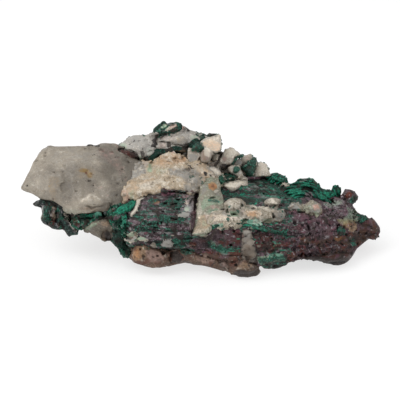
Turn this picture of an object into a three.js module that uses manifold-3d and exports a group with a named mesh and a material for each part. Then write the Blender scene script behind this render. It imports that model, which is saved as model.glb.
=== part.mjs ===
// Malachite on copper: a hand specimen of native copper with malachite crusts, grown together with calcite.
// Millimetres, +Z up, +X along the specimen towards its pointed end, +Y away from its front face.
// It lies on its worn underside, and the origin is below the middle of its box.
import * as THREE from 'three';
import { ConvexGeometry } from 'three/addons/geometries/ConvexGeometry.js';
import { LoftGeometry } from 'three/addons/geometries/LoftGeometry.js';
import { ConvexHull } from 'three/addons/math/ConvexHull.js';
import { ImprovedNoise } from 'three/addons/math/ImprovedNoise.js';
import { mergeVertices } from 'three/addons/utils/BufferGeometryUtils.js';
import Module from 'manifold-3d';

const wasm = await Module();
wasm.setup();

// Driving dimensions
const GAP = 0.35; // between minerals that touch
const LAMINA = 4.6; // thickness of the copper's laminae
const LAMINA_STANDS = [-0.3, 0.5, -0.4, 0.4, -0.5, 0.2]; // how far each stands out, from the floor up
const LAMINA_DIP = 0.07; // fall of the laminae towards the pointed end, in radians
const LAMINA_LAP = 0.05; // overlap that joins two laminae
const COPPER_SIDES = 14; // points round each of the copper's cross sections
const HALL = 300; // side of the boxes that cut the whole specimen

// The copper's cross sections from its buried end to the pointed end. Each corner is [y, z]: foot and belly
// are the lower and middle front, crest the front edge of the top, back its rear edge, tail the lowest point
// behind.
const COPPER = [
  { x: -23, foot: [-15.5, 11.5], belly: [-14.5, 14.5], crest: [-10.5, 17.5], back: [0, 17], tail: [0, 12] },
  { x: -20.4, foot: [-18.6, 9.9], belly: [-16.8, 14.4], crest: [-10, 20], back: [5, 14], tail: [8, 7] },
  { x: -15, foot: [-19.4, 9.8], belly: [-16.5, 16], crest: [-8.5, 22.6], back: [7, 15], tail: [13, 2] },
  { x: -8, foot: [-19.2, 10], belly: [-16.2, 16.2], crest: [-8.5, 22.3], back: [9, 15], tail: [17, -1] },
  { x: -3.2, foot: [-18.8, 9.4], belly: [-15.8, 15.4], crest: [-8.5, 21], back: [9, 16], tail: [18, -1] },
  { x: 0, foot: [-17.6, 7.2], belly: [-15.6, 10.5], crest: [-10, 14.5], back: [9, 20], tail: [18, -1] },
  { x: 7.5, foot: [-20, 5.8], belly: [-19, 10.5], crest: [-13, 14.6], back: [10, 20.5], tail: [18.5, -1] },
  { x: 15.5, foot: [-20, 5.2], belly: [-19, 10.5], crest: [-12, 15.2], back: [12, 19], tail: [18, -1] },
  { x: 23, foot: [-17.5, 2.4], belly: [-17.3, 8.5], crest: [-11, 15.8], back: [13.5, 17.6], tail: [17, -1] },
  { x: 31, foot: [-15.8, 3.4], belly: [-15.8, 9], crest: [-9.5, 16.6], back: [12.5, 15.4], tail: [15, 0] },
  { x: 38, foot: [-13.3, 1.4], belly: [-13.8, 7], crest: [-7, 15.4], back: [10, 13], tail: [12, 0] },
  { x: 44, foot: [-11.2, 0.5], belly: [-11.6, 5], crest: [-3.6, 13.2], back: [7, 10.4], tail: [8, 2.5] },
  { x: 49, foot: [-6.6, 3.2], belly: [-7, 5.6], crest: [-2.5, 9.2], back: [4.6, 7.4], tail: [4.5, 4] },
  { x: 54, foot: [-2.6, 3.6], belly: [-3, 5.4], crest: [0, 8], back: [2.6, 7.4], tail: [2, 4.4] },
];

const noise = new ImprovedNoise();

// Smooth noise from -1 to 1 whose lumps are about `size` across.
function noiseAt(point, size, seed) {
  return noise.noise(point.x / size + seed * 7.3, point.y / size - seed * 3.1, point.z / size + seed * 1.7);
}

// A generator of repeatable random numbers from 0 to 1.
function randomFrom(seed) {
  let state = seed * 2654435761;
  return () => {
    state = (state + 0x6d2b79f5) | 0;
    let mixed = Math.imul(state ^ (state >>> 15), 1 | state);
    mixed = (mixed + Math.imul(mixed ^ (mixed >>> 7), 61 | mixed)) ^ mixed;
    return ((mixed ^ (mixed >>> 14)) >>> 0) / 4294967296;
  };
}

function randomDirection(random) {
  const height = 2 * random() - 1;
  const angle = 2 * Math.PI * random();
  const flat = Math.sqrt(1 - height * height);
  return new THREE.Vector3(flat * Math.cos(angle), flat * Math.sin(angle), height);
}

const pointsOf = (corners) => corners.map((corner) => new THREE.Vector3(...corner));

function middleOf(points) {
  return points.reduce((sum, point) => sum.add(point), new THREE.Vector3()).divideScalar(points.length);
}

// For each vertex the move that shifts all faces round it outwards by 1, or less where they meet sharply.
function outwardMoves({ attributes: { position }, index }) {
  const vertex = (i) => new THREE.Vector3().fromBufferAttribute(position, i);
  const faces = Array.from({ length: index.count / 3 }, (_, face) => {
    const ids = [0, 1, 2].map((corner) => index.getX(3 * face + corner));
    return { ids, facing: new THREE.Triangle(...ids.map(vertex)).getNormal(new THREE.Vector3()) };
  });
  const moves = Array.from({ length: position.count }, () => new THREE.Vector3());
  for (const { ids, facing } of faces) {
    ids.forEach((id, corner) => {
      const [here, next, last] = [id, ids[(corner + 1) % 3], ids[(corner + 2) % 3]].map(vertex);
      moves[id].addScaledVector(facing, next.sub(here).angleTo(last.sub(here)));
    });
  }
  for (const move of moves) move.normalize();
  const least = moves.map(() => 1);
  for (const { ids, facing } of faces) {
    for (const id of ids) least[id] = Math.min(least[id], facing.dot(moves[id]));
  }
  return moves.map((move, i) => move.divideScalar(Math.max(least[i], 0.5)));
}

// A closed geometry as a solid that can be joined and cut, with its faces moved outwards by `grow`.
function solidOf(geometry, grow = 0) {
  const bare = new THREE.BufferGeometry().copy(geometry);
  bare.deleteAttribute('normal');
  bare.deleteAttribute('uv');
  const merged = mergeVertices(bare, 1e-4);
  const { position } = merged.attributes;
  outwardMoves(merged).forEach((move, i) => {
    const point = new THREE.Vector3().fromBufferAttribute(position, i).addScaledVector(move, grow);
    position.setXYZ(i, point.x, point.y, point.z);
  });
  const triVerts = new Uint32Array(merged.index.array);
  return new wasm.Manifold(new wasm.Mesh({ numProp: 3, vertProperties: position.array, triVerts }));
}

function geometryOf(solid) {
  const mesh = solid.getMesh();
  const geometry = new THREE.BufferGeometry();
  geometry.setAttribute('position', new THREE.BufferAttribute(mesh.vertProperties, 3));
  geometry.setIndex(new THREE.BufferAttribute(mesh.triVerts, 1));
  geometry.computeVertexNormals();
  return geometry;
}

// A ball whose point in each direction is `reach(direction)`.
function ball(detail, reach) {
  const geometry = new THREE.IcosahedronGeometry(1, detail);
  const positions = geometry.attributes.position;
  for (let i = 0; i < positions.count; i += 1) {
    const direction = new THREE.Vector3().fromBufferAttribute(positions, i).normalize();
    const point = reach(direction);
    positions.setXYZ(i, point.x, point.y, point.z);
  }
  return geometry;
}

// Places a shape built round its own middle.
function place(geometry, at, turn) {
  const euler = new THREE.Euler(...turn.map(THREE.MathUtils.degToRad));
  return geometry.applyMatrix4(new THREE.Matrix4().makeRotationFromEuler(euler).setPosition(...at));
}

// A rough lump: an ellipsoid with random flat breaks.
function lump({ at, size, turn = [0, 0, 0], seed, breaks = 10, rough = 0.07, detail = 2 }) {
  const random = randomFrom(seed);
  const planes = Array.from({ length: breaks }, () => {
    return { facing: randomDirection(random), far: 0.78 + 0.2 * random() };
  });
  const shape = ball(detail, (direction) => {
    const reaches = planes.map(({ facing, far }) => far / Math.max(direction.dot(facing), 1e-3));
    const radius = Math.min(1, ...reaches) * (1 + rough * noiseAt(direction, 0.55, seed));
    return direction.clone().multiplyScalar(radius).multiply(new THREE.Vector3(...size));
  });
  return place(shape, at, turn);
}

// A boulder: the hull of given corners with rounded edges and an uneven face.
function boulder({ corners, seed, rough, detail, sharp }) {
  const points = pointsOf(corners);
  const middle = middleOf(points);
  const planes = new ConvexHull().setFromPoints(points).faces.map(({ normal, constant, area }) => {
    return { normal, far: constant - normal.dot(middle), area };
  });
  const whole = planes.reduce((sum, { area }) => sum + area, 0);
  const shape = ball(detail, (direction) => {
    const nearness = planes.reduce((sum, { normal, far, area }) => {
      return sum + Math.min(1, (12 * area) / whole) * (Math.max(direction.dot(normal), 0) / far) ** sharp;
    }, 0);
    const point = direction.clone().multiplyScalar(nearness ** (-1 / sharp));
    return point.setLength(point.length() + rough * noiseAt(point, 5, seed));
  });
  return place(shape, middle.toArray(), [0, 0, 0]);
}

// A flat-faced crystal or cleavage fragment: the hull of points scattered over an ellipsoid.
function crystal({ at, size, turn = [0, 0, 0], seed, corners }) {
  const random = randomFrom(seed);
  const golden = Math.PI * (3 - Math.sqrt(5));
  const points = Array.from({ length: corners }, (_, i) => {
    const height = 1 - (2 * (i + 0.5)) / corners;
    const flat = Math.sqrt(1 - height * height);
    const angle = golden * i + 0.9 * random();
    const point = new THREE.Vector3(flat * Math.cos(angle), flat * Math.sin(angle), height);
    return point.multiplyScalar(0.9 + 0.24 * random()).multiply(new THREE.Vector3(...size));
  });
  return place(new ConvexGeometry(points), at, turn);
}

const join = (solids) => solids.reduce((whole, solid) => whole.add(solid));

// Lumps, and crystals where a shape gives its number of corners, grown together.
function grown(shapes, grow) {
  return join(shapes.map((shape) => solidOf((shape.corners ? crystal : lump)(shape), grow)));
}

const faceted = (corners, grow) => solidOf(new ConvexGeometry(pointsOf(corners)), grow);

// One cross section of the copper, before its laminae are told apart.
function copperSection({ x, foot, belly, crest, back, tail }) {
  const under = [(foot[0] + tail[0]) / 2, Math.min(foot[1], tail[1])];
  const rear = [(tail[0] + back[0]) / 2 + 1.2, (tail[1] + back[1]) / 2];
  const top = [(crest[0] + back[0]) / 2, (crest[1] + back[1]) / 2 + 0.5];
  const corners = pointsOf([foot, under, tail, rear, back, top, crest, belly].map(([y, z]) => [x, y, z]));
  const outline = new THREE.CatmullRomCurve3(corners, true, 'catmullrom', 0.3);
  const points = Array.from({ length: COPPER_SIDES }, (_, i) => outline.getPoint(i / COPPER_SIDES));
  const middle = middleOf(points);
  return points.map((point) => {
    const arm = point.clone().sub(middle);
    return middle.clone().add(arm.setLength(arm.length() + 1.1 * noiseAt(point, 6, 1)));
  });
}

// A level slab of the copper's bedding.
function bed(level, grow) {
  const height = LAMINA + 2 * (LAMINA_LAP + grow);
  const slab = new THREE.BoxGeometry(HALL, HALL, height).rotateY(LAMINA_DIP);
  return solidOf(slab.translate(0, 0, (level + 0.5) * LAMINA));
}

// Lumps that the copper ends in: the knobs of the pointed end, the nub behind them and the right front foot.
const COPPER_LUMPS = [
  { at: [52.7, 1, 6.3], size: [3.5, 3.6, 3.4], turn: [0, 20, 0], seed: 11, corners: 16 },
  { at: [49.6, 1.6, 6.8], size: [3.4, 3.4, 2.8], seed: 12, corners: 16 },
  { at: [46.5, 6, 14.5], size: [2.5, 2.4, 2.4], turn: [0, -20, 10], seed: 13, corners: 16 },
  { at: [44.6, 4.4, 11.4], size: [3.2, 3.7, 3.3], seed: 14, corners: 18 },
  { at: [41.6, -8, 3.2], size: [5.6, 5, 4.6], turn: [0, 10, 0], seed: 15, corners: 20 },
  { at: [24, -14.6, 4.4], size: [5.6, 3.4, 3.2], turn: [0, -6, 0], seed: 16, detail: 1 },
];

// The native copper: a laminated mass with a ledge wherever a sheet ends.
function copperMass(grow) {
  const form = new LoftGeometry(COPPER.map(copperSection), { capStart: true, capEnd: true });
  const sheets = LAMINA_STANDS.map((stand, level) => solidOf(form, stand + grow).intersect(bed(level, grow)));
  return join(sheets).add(grown(COPPER_LUMPS, grow));
}

// The large milky block that overhangs the left end.
const BLOCK = [
  [-55, 1, 19.7], [-53.6, 5, 22.4], [-51.4, 6, 26], [-49.6, 9, 28], [-47, 12, 28.9], [-40, 12.6, 29.2],
  [-28, 12.6, 29.5], [-22, 11, 28.6], [-17.8, 6.4, 25.6], [-49, -3, 18], [-42.5, -6, 17], [-40, -7.6, 15.4],
  [-36, -9.4, 14.2], [-29, -9.8, 15], [-24.4, -8.4, 17.2], [-36.5, -9.8, 19.4], [-42.4, -6.6, 22],
  [-29.2, -8.8, 20.8], [-22, -4, 22.6], [-51.6, 12, 22], [-46, 20, 24], [-30, 22, 24.6], [-20, 18, 24],
  [-49, 16, 17], [-26, 20, 14], [-40, 14, 12.5], [-34, 4, 11.5], [-20, 6, 15], [-38, 2, 27.4], [-45, 3, 26.2],
  [-28, 2, 26.6],
];

// The milky ridge along the back, behind the block's right end.
const RIDGE = [
  { at: [-20, 13, 27.2], size: [6.2, 5.6, 4.2], turn: [0, -10, 8], seed: 21, detail: 1 },
  { at: [-13.8, 13.4, 28.6], size: [3.6, 4.6, 3.4], turn: [0, 10, 0], seed: 22, detail: 1 },
  { at: [-6.4, 13.8, 29.6], size: [7.4, 5, 3.9], turn: [0, 6, -6], seed: 23, detail: 1 },
  { at: [0.6, 15.2, 27.8], size: [4.6, 4.4, 3.6], turn: [0, 14, 0], seed: 24, detail: 1 },
  { at: [-9, 16.4, 22], size: [14, 5.2, 8], turn: [0, 4, 0], seed: 25, detail: 1 },
];

// Flat-faced fragments that stand together right of the ridge.
const CLUSTER = [
  { at: [4, 12.6, 28.4], size: [3, 3.4, 5], turn: [0, 12, 10], seed: 31, corners: 11 },
  { at: [1.6, 11.4, 26.8], size: [2.6, 3, 3.4], turn: [0, 4, 40], seed: 30, corners: 11 },
  { at: [-2.4, 10.2, 26.2], size: [2.6, 2.6, 3], turn: [10, 0, 30], seed: 32, corners: 12 },
  { at: [9.4, 12.6, 23.7], size: [3, 3.2, 4.2], turn: [0, 28, 0], seed: 33, corners: 11 },
  { at: [5.4, 8.8, 22.8], size: [2.4, 2.4, 2.6], turn: [0, 0, 50], seed: 34, corners: 12 },
  { at: [14.2, 13.4, 23.2], size: [2.8, 2.6, 2.5], turn: [0, 10, 20], seed: 35, corners: 12 },
  { at: [16.6, 14.6, 21.2], size: [2.6, 2.8, 3.4], turn: [0, 10, 0], seed: 29, corners: 12 },
  { at: [19, 14.6, 19.8], size: [3.2, 2.8, 3.4], turn: [0, 16, 0], seed: 36, corners: 14 },
  { at: [11.2, 9, 21.4], size: [2.4, 2.4, 2.4], turn: [20, 0, 0], seed: 37, corners: 12 },
  { at: [10.8, 3.6, 20.2], size: [4, 2.6, 2.3], turn: [0, -16, -10], seed: 38, corners: 14 },
  { at: [10, 13.6, 20.4], size: [10, 4.6, 4.2], turn: [0, 16, 0], seed: 39, corners: 16 },
];

// The tapered blade that leans on the copper in the middle of the front.
const BLADE = [
  [1.9, 2, 22.6], [5.2, 1.6, 22.4], [0.4, -2.5, 21.6], [6.6, -6.5, 19.8], [-0.4, -9, 18.6], [-1.9, -16.5, 13],
  [-2.7, -19.6, 10.4], [0.6, -20.4, 9.6], [5.6, -15.2, 14.2], [7.2, -10, 17.6], [4, 1.6, 15], [6, -6, 13],
  [0, -6, 14], [-1.8, -16, 7.8], [4, -14, 8.8],
];

// The cream granular saddle between the block and the ridge, with its humps.
const SADDLE = {
  corners: [
    [-26, -8, 17.4], [-24.4, -5.6, 21.6], [-19.6, -7.6, 21.4], [-13.6, -7.8, 23.6], [-7.4, -7.2, 23],
    [-1.4, -3, 20.8], [3, 3, 21.2], [7.6, 7.6, 22.2], [4, 11.4, 24.8], [-3, 12.4, 27.6], [-11, 12, 27.4],
    [-17, 10, 26.2], [-23, 6, 24], [-27, -6, 13], [-31, 12, 9], [-24, 18, 12], [-10, 18.6, 8], [6, 17.4, 12],
    [8, 6, 16], [-18, -6, 16],
  ],
  seed: 4,
  rough: 0.9,
  detail: 3,
  sharp: 14,
};
const SADDLE_HUMPS = [
  { at: [-19.6, -1, 21.8], size: [5, 7, 2.6], turn: [16, 0, 20], seed: 41, detail: 1 },
  { at: [-10.4, 4, 24.4], size: [6, 5, 2.4], turn: [14, 0, 0], seed: 42, detail: 1 },
];
const creamCalcite = (grow) => solidOf(boulder(SADDLE), grow).add(grown(SADDLE_HUMPS, grow));

// The cream ledge that runs right from the blade along the copper's crest.
const LEDGE = [
  { at: [7.4, -13, 15.2], size: [6, 3.8, 2.5], turn: [0, 6, -6], seed: 51, detail: 1 },
  { at: [10.4, -8.4, 17.1], size: [3.7, 3, 2.8], seed: 52, detail: 1 },
  { at: [15.8, -10.6, 15.6], size: [5.8, 3.6, 2.6], turn: [0, 4, 0], seed: 53, detail: 1 },
  { at: [21.8, -9.8, 15.2], size: [4.4, 3.2, 2.2], turn: [0, 6, 0], seed: 54, detail: 1 },
  { at: [22.6, -6.6, 17], size: [1.9, 2, 1.7], seed: 55, corners: 14 },
];

// Small teeth of calcite further along the same crest.
const TOOTH = [
  { at: [34, -6.6, 15.8], size: [2.9, 2.6, 2.7], turn: [0, -20, 0], seed: 57, corners: 14 },
  { at: [29.8, -7.2, 16], size: [2.7, 2.2, 1.9], seed: 58, corners: 14 },
];

// Malachite on the copper's top at the right: a hood with lower crusts on both sides.
const CRUST_RIGHT = [
  { at: [33, 9.4, 15.4], size: [4.9, 4.2, 3.2], turn: [0, 8, 10], seed: 61 },
  { at: [29.8, 5, 15.6], size: [5.2, 4.6, 2.1], turn: [0, 4, 0], seed: 62, detail: 1 },
  { at: [38.7, 7.8, 13.6], size: [3, 2.8, 2.2], seed: 63, detail: 1 },
  { at: [41.4, 7.6, 13.8], size: [2.2, 1.9, 1.8], turn: [0, -30, 0], seed: 64, corners: 14 },
  { at: [42.8, 8, 15.6], size: [1.4, 1.4, 1.7], seed: 65, corners: 14 },
  { at: [25, 11.4, 17.2], size: [4.2, 2.6, 2.1], turn: [0, 6, 0], seed: 66, detail: 1 },
  { at: [28.6, 9.8, 16.4], size: [2.6, 2.4, 1.6], seed: 67, corners: 14 },
  { at: [35.8, 2.8, 14.6], size: [4.8, 3.6, 1.8], turn: [0, 8, 0], seed: 68, detail: 1 },
];

// Malachite under the block and down the copper's left edge.
const CRUST_LEFT = [
  { at: [-23.6, -11.4, 16], size: [4.2, 3.4, 3.8], turn: [0, -35, 0], seed: 71, detail: 1 },
  { at: [-23.8, -13.4, 11.6], size: [3.2, 3.2, 3.8], seed: 72, detail: 1 },
  { at: [-29.2, -9, 12.8], size: [5.2, 2.8, 2.2], turn: [0, -4, 0], seed: 73, corners: 22 },
  { at: [-35.4, -8, 12.2], size: [4.2, 2.8, 2], turn: [0, -6, 0], seed: 74, corners: 20 },
  { at: [-24.2, -14, 7.8], size: [2.7, 2.8, 2.8], seed: 75, corners: 20 },
  { at: [-22.6, -14.2, 5.6], size: [2, 2.2, 2.2], seed: 76, corners: 16 },
];

// Malachite at the ridge's front foot.
const BAND = [
  { at: [-13.4, 9, 27], size: [4.4, 2, 1.8], turn: [0, -10, 0], seed: 81, detail: 1 },
  { at: [-7.8, 8.9, 28], size: [4.6, 1.9, 1.7], turn: [0, -12, 0], seed: 82, detail: 1 },
  { at: [-1.2, 9.8, 29.6], size: [3.4, 1.8, 1.5], turn: [0, -20, 0], seed: 84, detail: 1 },
];

// The dark knob on top of the ridge.
const KNOB = [
  { at: [-12.7, 14, 33.3], size: [2.4, 2.2, 2.1], turn: [0, -20, 0], seed: 86, corners: 22 },
  { at: [-8.6, 13.8, 33.9], size: [3.2, 2.2, 1.5], turn: [0, 4, 0], seed: 87, corners: 22 },
];

// The branching copper that hangs from the block's left end.
const SPRAY = [
  { at: [-44.6, -3.8, 16.4], size: [3.2, 2.4, 1.6], seed: 91, corners: 18 },
  { at: [-48.2, -4, 16.7], size: [2.4, 1.1, 1], turn: [0, 8, 0], seed: 92, corners: 18 },
  { at: [-46.8, -4.4, 13], size: [1.9, 2.2, 3.4], seed: 93, corners: 18 },
  { at: [-44.5, -4.2, 13], size: [1.7, 1.8, 3.4], seed: 98, corners: 18 },
  { at: [-42, -4.8, 12.8], size: [2.2, 2.2, 3.8], turn: [0, -14, 0], seed: 94, corners: 18 },
  { at: [-44, -5.4, 10.2], size: [3.4, 2.2, 1.7], turn: [0, 14, 0], seed: 95, corners: 18 },
  { at: [-39.6, -5.8, 8.8], size: [2.2, 1.6, 2.3], turn: [0, -30, 0], seed: 96, corners: 18 },
  { at: [-37.6, -6.4, 10.2], size: [2.3, 2, 2.5], seed: 97, corners: 18 },
];

// Grey calcite below the left crust.
const UNDER = [
  { at: [-29.2, -4.6, 9.8], size: [7.2, 6, 3.6], turn: [0, 14, 0], seed: 101, corners: 26 },
  { at: [-26.6, 6, 7.4], size: [8.2, 9, 5], turn: [0, 16, 20], seed: 102, corners: 26 },
];

// Iron-stained calcite that the specimen stands on in front.
const FOOT = [
  { at: [-15.2, -13, 5], size: [6.2, 5.6, 4.3], turn: [0, 4, 0], seed: 111, detail: 1 },
  { at: [-14, -8.6, 3.6], size: [6.4, 5, 4.4], seed: 110, detail: 1 },
  { at: [-5, -12.4, 4.4], size: [8, 6, 4.6], seed: 112, detail: 1 },
  { at: [5.4, -14, 3.6], size: [7.4, 6, 4.4], turn: [0, 0, -8], seed: 113, detail: 1 },
  { at: [12.8, -17.2, 3.3], size: [5.6, 4.8, 4.1], turn: [0, -4, 10], seed: 114 },
];

// The largest body of a cut solid, without the splinters that a cut leaves.
function largestBody(solid) {
  return solid.decompose().reduce((best, body) => (body.volume() > best.volume() ? body : best));
}

function finish(color, roughness, metalness = 0) {
  return new THREE.MeshStandardMaterial({ color, roughness, metalness });
}

// Each mineral body in the order in which it keeps its place: a later one is cut back by those before it.
const BODIES = [
  ['calcite_blade', (grow) => faceted(BLADE, grow), finish(0xb6bcab, 0.6)],
  ['calcite_ledge', (grow) => grown(LEDGE, grow), finish(0xc0b0a0, 0.7)],
  ['calcite_tooth', (grow) => grown(TOOTH, grow), finish(0xaeb29f, 0.6)],
  ['copper_mass', copperMass, finish(0x5d474b, 0.55, 0.6)],
  ['calcite_block', (grow) => faceted(BLOCK, grow), finish(0xaba69d, 0.45)],
  ['malachite_band', (grow) => grown(BAND, grow), finish(0x1d4a3f, 0.6)],
  ['calcite_cluster', (grow) => grown(CLUSTER, grow), finish(0xb9b0a5, 0.55)],
  ['back_ridge', (grow) => grown(RIDGE, grow), finish(0xaaa7a0, 0.5)],
  ['malachite_crust_right', (grow) => grown(CRUST_RIGHT, grow), finish(0x0f5f4b, 0.6)],
  ['malachite_crust_left', (grow) => grown(CRUST_LEFT, grow), finish(0x15594a, 0.6)],
  ['malachite_knob', (grow) => grown(KNOB, grow), finish(0x33564b, 0.6)],
  ['stained_foot', (grow) => grown(FOOT, grow), finish(0x8d6a55, 0.65)],
  ['copper_spray', (grow) => grown(SPRAY, grow), finish(0x2d3a35, 0.5, 0.5)],
  ['under_calcite', (grow) => grown(UNDER, grow), finish(0x8b867b, 0.6)],
  ['cream_calcite', creamCalcite, finish(0xc9b8a3, 0.7)],
];

function specimen() {
  const group = new THREE.Group();
  const aboveFloor = solidOf(new THREE.BoxGeometry(HALL, HALL, HALL).translate(0, 0, HALL / 2));
  const placed = [];
  for (const [name, shape, material] of BODIES) {
    const cut = placed.reduce((rest, neighbour) => rest.subtract(neighbour), shape(0));
    const mesh = new THREE.Mesh(geometryOf(largestBody(cut.intersect(aboveFloor))), material);
    mesh.name = name;
    group.add(mesh);
    placed.push(shape(GAP));
  }
  const box = new THREE.Box3().setFromObject(group);
  const middle = box.getCenter(new THREE.Vector3());
  group.position.set(-middle.x, -middle.y, -box.min.z);
  return group;
}

export default specimen();
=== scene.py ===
"""Malachite on copper: the finished surfaces of a hand specimen, grown from the solids of its frame.

Places and outlines are written in pixels of the photograph's frame, 400 wide. Lengths are in millimetres."""
import math

import bpy
import numpy as np
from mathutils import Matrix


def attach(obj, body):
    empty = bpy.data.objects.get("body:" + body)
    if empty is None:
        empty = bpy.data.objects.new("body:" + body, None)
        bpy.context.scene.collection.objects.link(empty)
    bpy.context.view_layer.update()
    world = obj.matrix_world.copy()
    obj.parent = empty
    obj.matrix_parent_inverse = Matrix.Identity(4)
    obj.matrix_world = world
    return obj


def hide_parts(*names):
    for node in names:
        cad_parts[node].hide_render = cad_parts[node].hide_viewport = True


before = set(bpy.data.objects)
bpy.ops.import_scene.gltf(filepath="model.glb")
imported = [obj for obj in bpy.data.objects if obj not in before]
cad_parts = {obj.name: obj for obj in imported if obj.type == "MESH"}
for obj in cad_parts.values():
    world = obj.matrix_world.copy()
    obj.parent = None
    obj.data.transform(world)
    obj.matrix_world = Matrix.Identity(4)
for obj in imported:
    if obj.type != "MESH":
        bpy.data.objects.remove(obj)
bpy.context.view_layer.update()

import openvdb
from mathutils import Euler, Vector
from mathutils.bvhtree import BVHTree

MM = 0.001
REACH = 2.4  # how far from a surface its distances are kept
MOST_TRIANGLES = 196000  # in one piece
LEAST_POINTS = 400  # of a part of a piece that is kept
FULL_TURN = 6.283  # radians
TRIED_PLACES = 40000  # where grains may grow, if only a part of a body has them
BATCH_CELLS = 1500000  # that are worked on at once
LUMP_DEPTH = 0.85  # of a placed lump, for its smaller width
EDGE_ON = (-0.25, 0.1)  # how far a face looks to the front where the front's stains fade

# What a place on a body is made of: its own mineral, or what has grown on it.
KINDS = ("host", "malachite", "calcite", "iron", "copper", "dark")
BEDDING = (0.07, 0.0, 1.0)  # faces out of the copper's laminae

# Camera

ELEVATION = math.radians(24)
DISTANCE = 450.0
FOCAL_PX = 1464.5
IMAGE_PX = 400
SENSOR_MM = 36.0
AIM = Vector((-0.48, 0.02, 16.1))  # the point that the camera looks at
EYE = AIM + DISTANCE * Vector((0, -math.cos(ELEVATION), math.sin(ELEVATION)))
RIGHT = np.array((1, 0, 0), np.float32)
UP = np.array((0, math.sin(ELEVATION), math.cos(ELEVATION)), np.float32)
TOWARDS = np.array((0, -math.cos(ELEVATION), math.sin(ELEVATION)), np.float32)
PX_MM = 0.307  # millimetres that a pixel spans at the object


def make_camera():
    data = bpy.data.cameras.new("camera")
    data.sensor_width = SENSOR_MM
    data.lens = SENSOR_MM * FOCAL_PX / IMAGE_PX
    data.clip_start, data.clip_end = 0.01, 20
    camera = bpy.data.objects.new("camera", data)
    camera.location = EYE * MM
    camera.rotation_euler = (math.pi / 2 - ELEVATION, 0, 0)
    bpy.context.scene.collection.objects.link(camera)
    bpy.context.scene.camera = camera


def ray(px, py):
    """The direction from the eye through a point of the image."""
    right = (px - IMAGE_PX / 2) / FOCAL_PX
    up = (IMAGE_PX / 2 - py) / FOCAL_PX
    cosine, sine = math.cos(ELEVATION), math.sin(ELEVATION)
    return Vector((right, cosine + up * sine, -sine + up * cosine)).normalized()


def project(points):
    """Where points show in the image, and how far away they are along the view."""
    arm = points - np.array(EYE, np.float32)
    away = -(arm @ TOWARDS)
    return IMAGE_PX / 2 + FOCAL_PX * (arm @ RIGHT) / away, IMAGE_PX / 2 - FOCAL_PX * (arm @ UP) / away, away


# Lists of outlines and spots


def listed(text):
    """A text's entries. Each has words and numbers, and then places: an outline's x,y corners,
    x,y,radius spots or x,y,half width,half height,turn lumps."""
    entries, was_place = [], True
    for word in text.split():
        is_place = "," in word
        if was_place and not is_place:
            entries.append(([], []))
        entries[-1][is_place].append([float(v) for v in word.split(",")] if is_place else word)
        was_place = is_place
    return entries


def ring(corners):
    """An outline from its corners, as a list or as a text."""
    return np.array(listed("1 " + corners)[0][1] if isinstance(corners, str) else corners, np.float32)


def around(outline, px, py, front, margin, behind_by):
    """The numbers of the places near an outline that don't lie far behind the solids' faces."""
    low, high = outline.min(0) - margin, outline.max(0) + margin
    inside = (px > low[0]) & (px < high[0]) & (py > low[1]) & (py < high[1])
    return np.flatnonzero(inside & (front > -behind_by))


def outline_distance(px, py, outline):
    """Distance to the outline in pixels, below 0 inside it."""
    nearest = np.full(px.shape, 1e9, np.float32)
    inside = np.zeros(px.shape, bool)
    for (ax, ay), (bx, by) in zip(outline, np.roll(outline, -1, 0)):
        ex, ey = bx - ax, by - ay
        along = np.clip(((px - ax) * ex + (py - ay) * ey) / (ex * ex + ey * ey + 1e-9), 0, 1)
        nearest = np.minimum(nearest, (px - ax - along * ex) ** 2 + (py - ay - along * ey) ** 2)
        crosses = (ay > py) != (by > py)
        inside ^= crosses & (px < ax + (py - ay) * ex / (ey if abs(ey) > 1e-6 else 1e-6))
    return np.where(inside, -1, 1) * np.sqrt(nearest)


# Noise

RANDOM = np.random.default_rng(11)
SIDE = 32  # of the lattice of random numbers that repeats in space
MOST_TURN = 6.28  # of a noise's lattice about each axis
LATTICE = RANDOM.random(SIDE**3, dtype=np.float32) * 2 - 1
JITTER = RANDOM.random((SIDE**3, 3), dtype=np.float32)
TURNS = [np.array(Euler(RANDOM.random(3) * MOST_TURN).to_matrix(), np.float32) for _ in range(16)]


def lattice_index(cell):
    cell = cell & (SIDE - 1)
    return (cell[..., 0] * SIDE + cell[..., 1]) * SIDE + cell[..., 2]


def noise(points, size, seed=0):
    """Smooth noise from -1 to 1 whose lumps are about `size` across."""
    q = (points @ TURNS[seed % 16]) / np.float32(size) + np.float32(3.17 * seed)
    cell = np.floor(q).astype(np.int32)
    t = q - cell
    t = t * t * (3 - 2 * t)
    total = 0
    for dx in (0, 1):
        wx = t[:, 0] if dx else 1 - t[:, 0]
        for dy in (0, 1):
            wy = wx * (t[:, 1] if dy else 1 - t[:, 1])
            for dz in (0, 1):
                w = wy * (t[:, 2] if dz else 1 - t[:, 2])
                total = total + w * LATTICE[lattice_index(cell + np.array((dx, dy, dz), np.int32))]
    return total


def layers(points, size, seed=0, octaves=3, gain=0.5):
    """Noise with finer noise on it."""
    total, weight, share = 0, 0, 1.0
    for octave in range(octaves):
        total = total + share * noise(points, size / 2**octave, seed + octave)
        weight += share
        share *= gain
    return total / weight


def waves(*terms):
    """A relief of layers: each term has a height, and the numbers that layers takes."""
    return lambda points: sum(height * layers(points, *numbers) for height, *numbers in terms)


def cells(points, size, seed):
    """Distance to the nearest of points that are scattered `size` apart."""
    q = (points @ TURNS[(seed + 5) % 16]) / np.float32(size) + np.float32(1.31 * seed)
    home = np.floor(q).astype(np.int32)
    nearest = np.full(len(q), 9, np.float32)
    for offset in np.ndindex(3, 3, 3):
        cell = home + np.array(offset, np.int32) - 1
        nearest = np.minimum(nearest, np.sqrt((((cell + JITTER[lattice_index(cell)]) - q) ** 2).sum(1)))
    return nearest


def step(value, low, high):
    """0 below low, 1 above high, and smooth between."""
    t = np.clip((value - low) / (high - low), 0, 1)
    return t * t * (3 - 2 * t)


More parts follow.
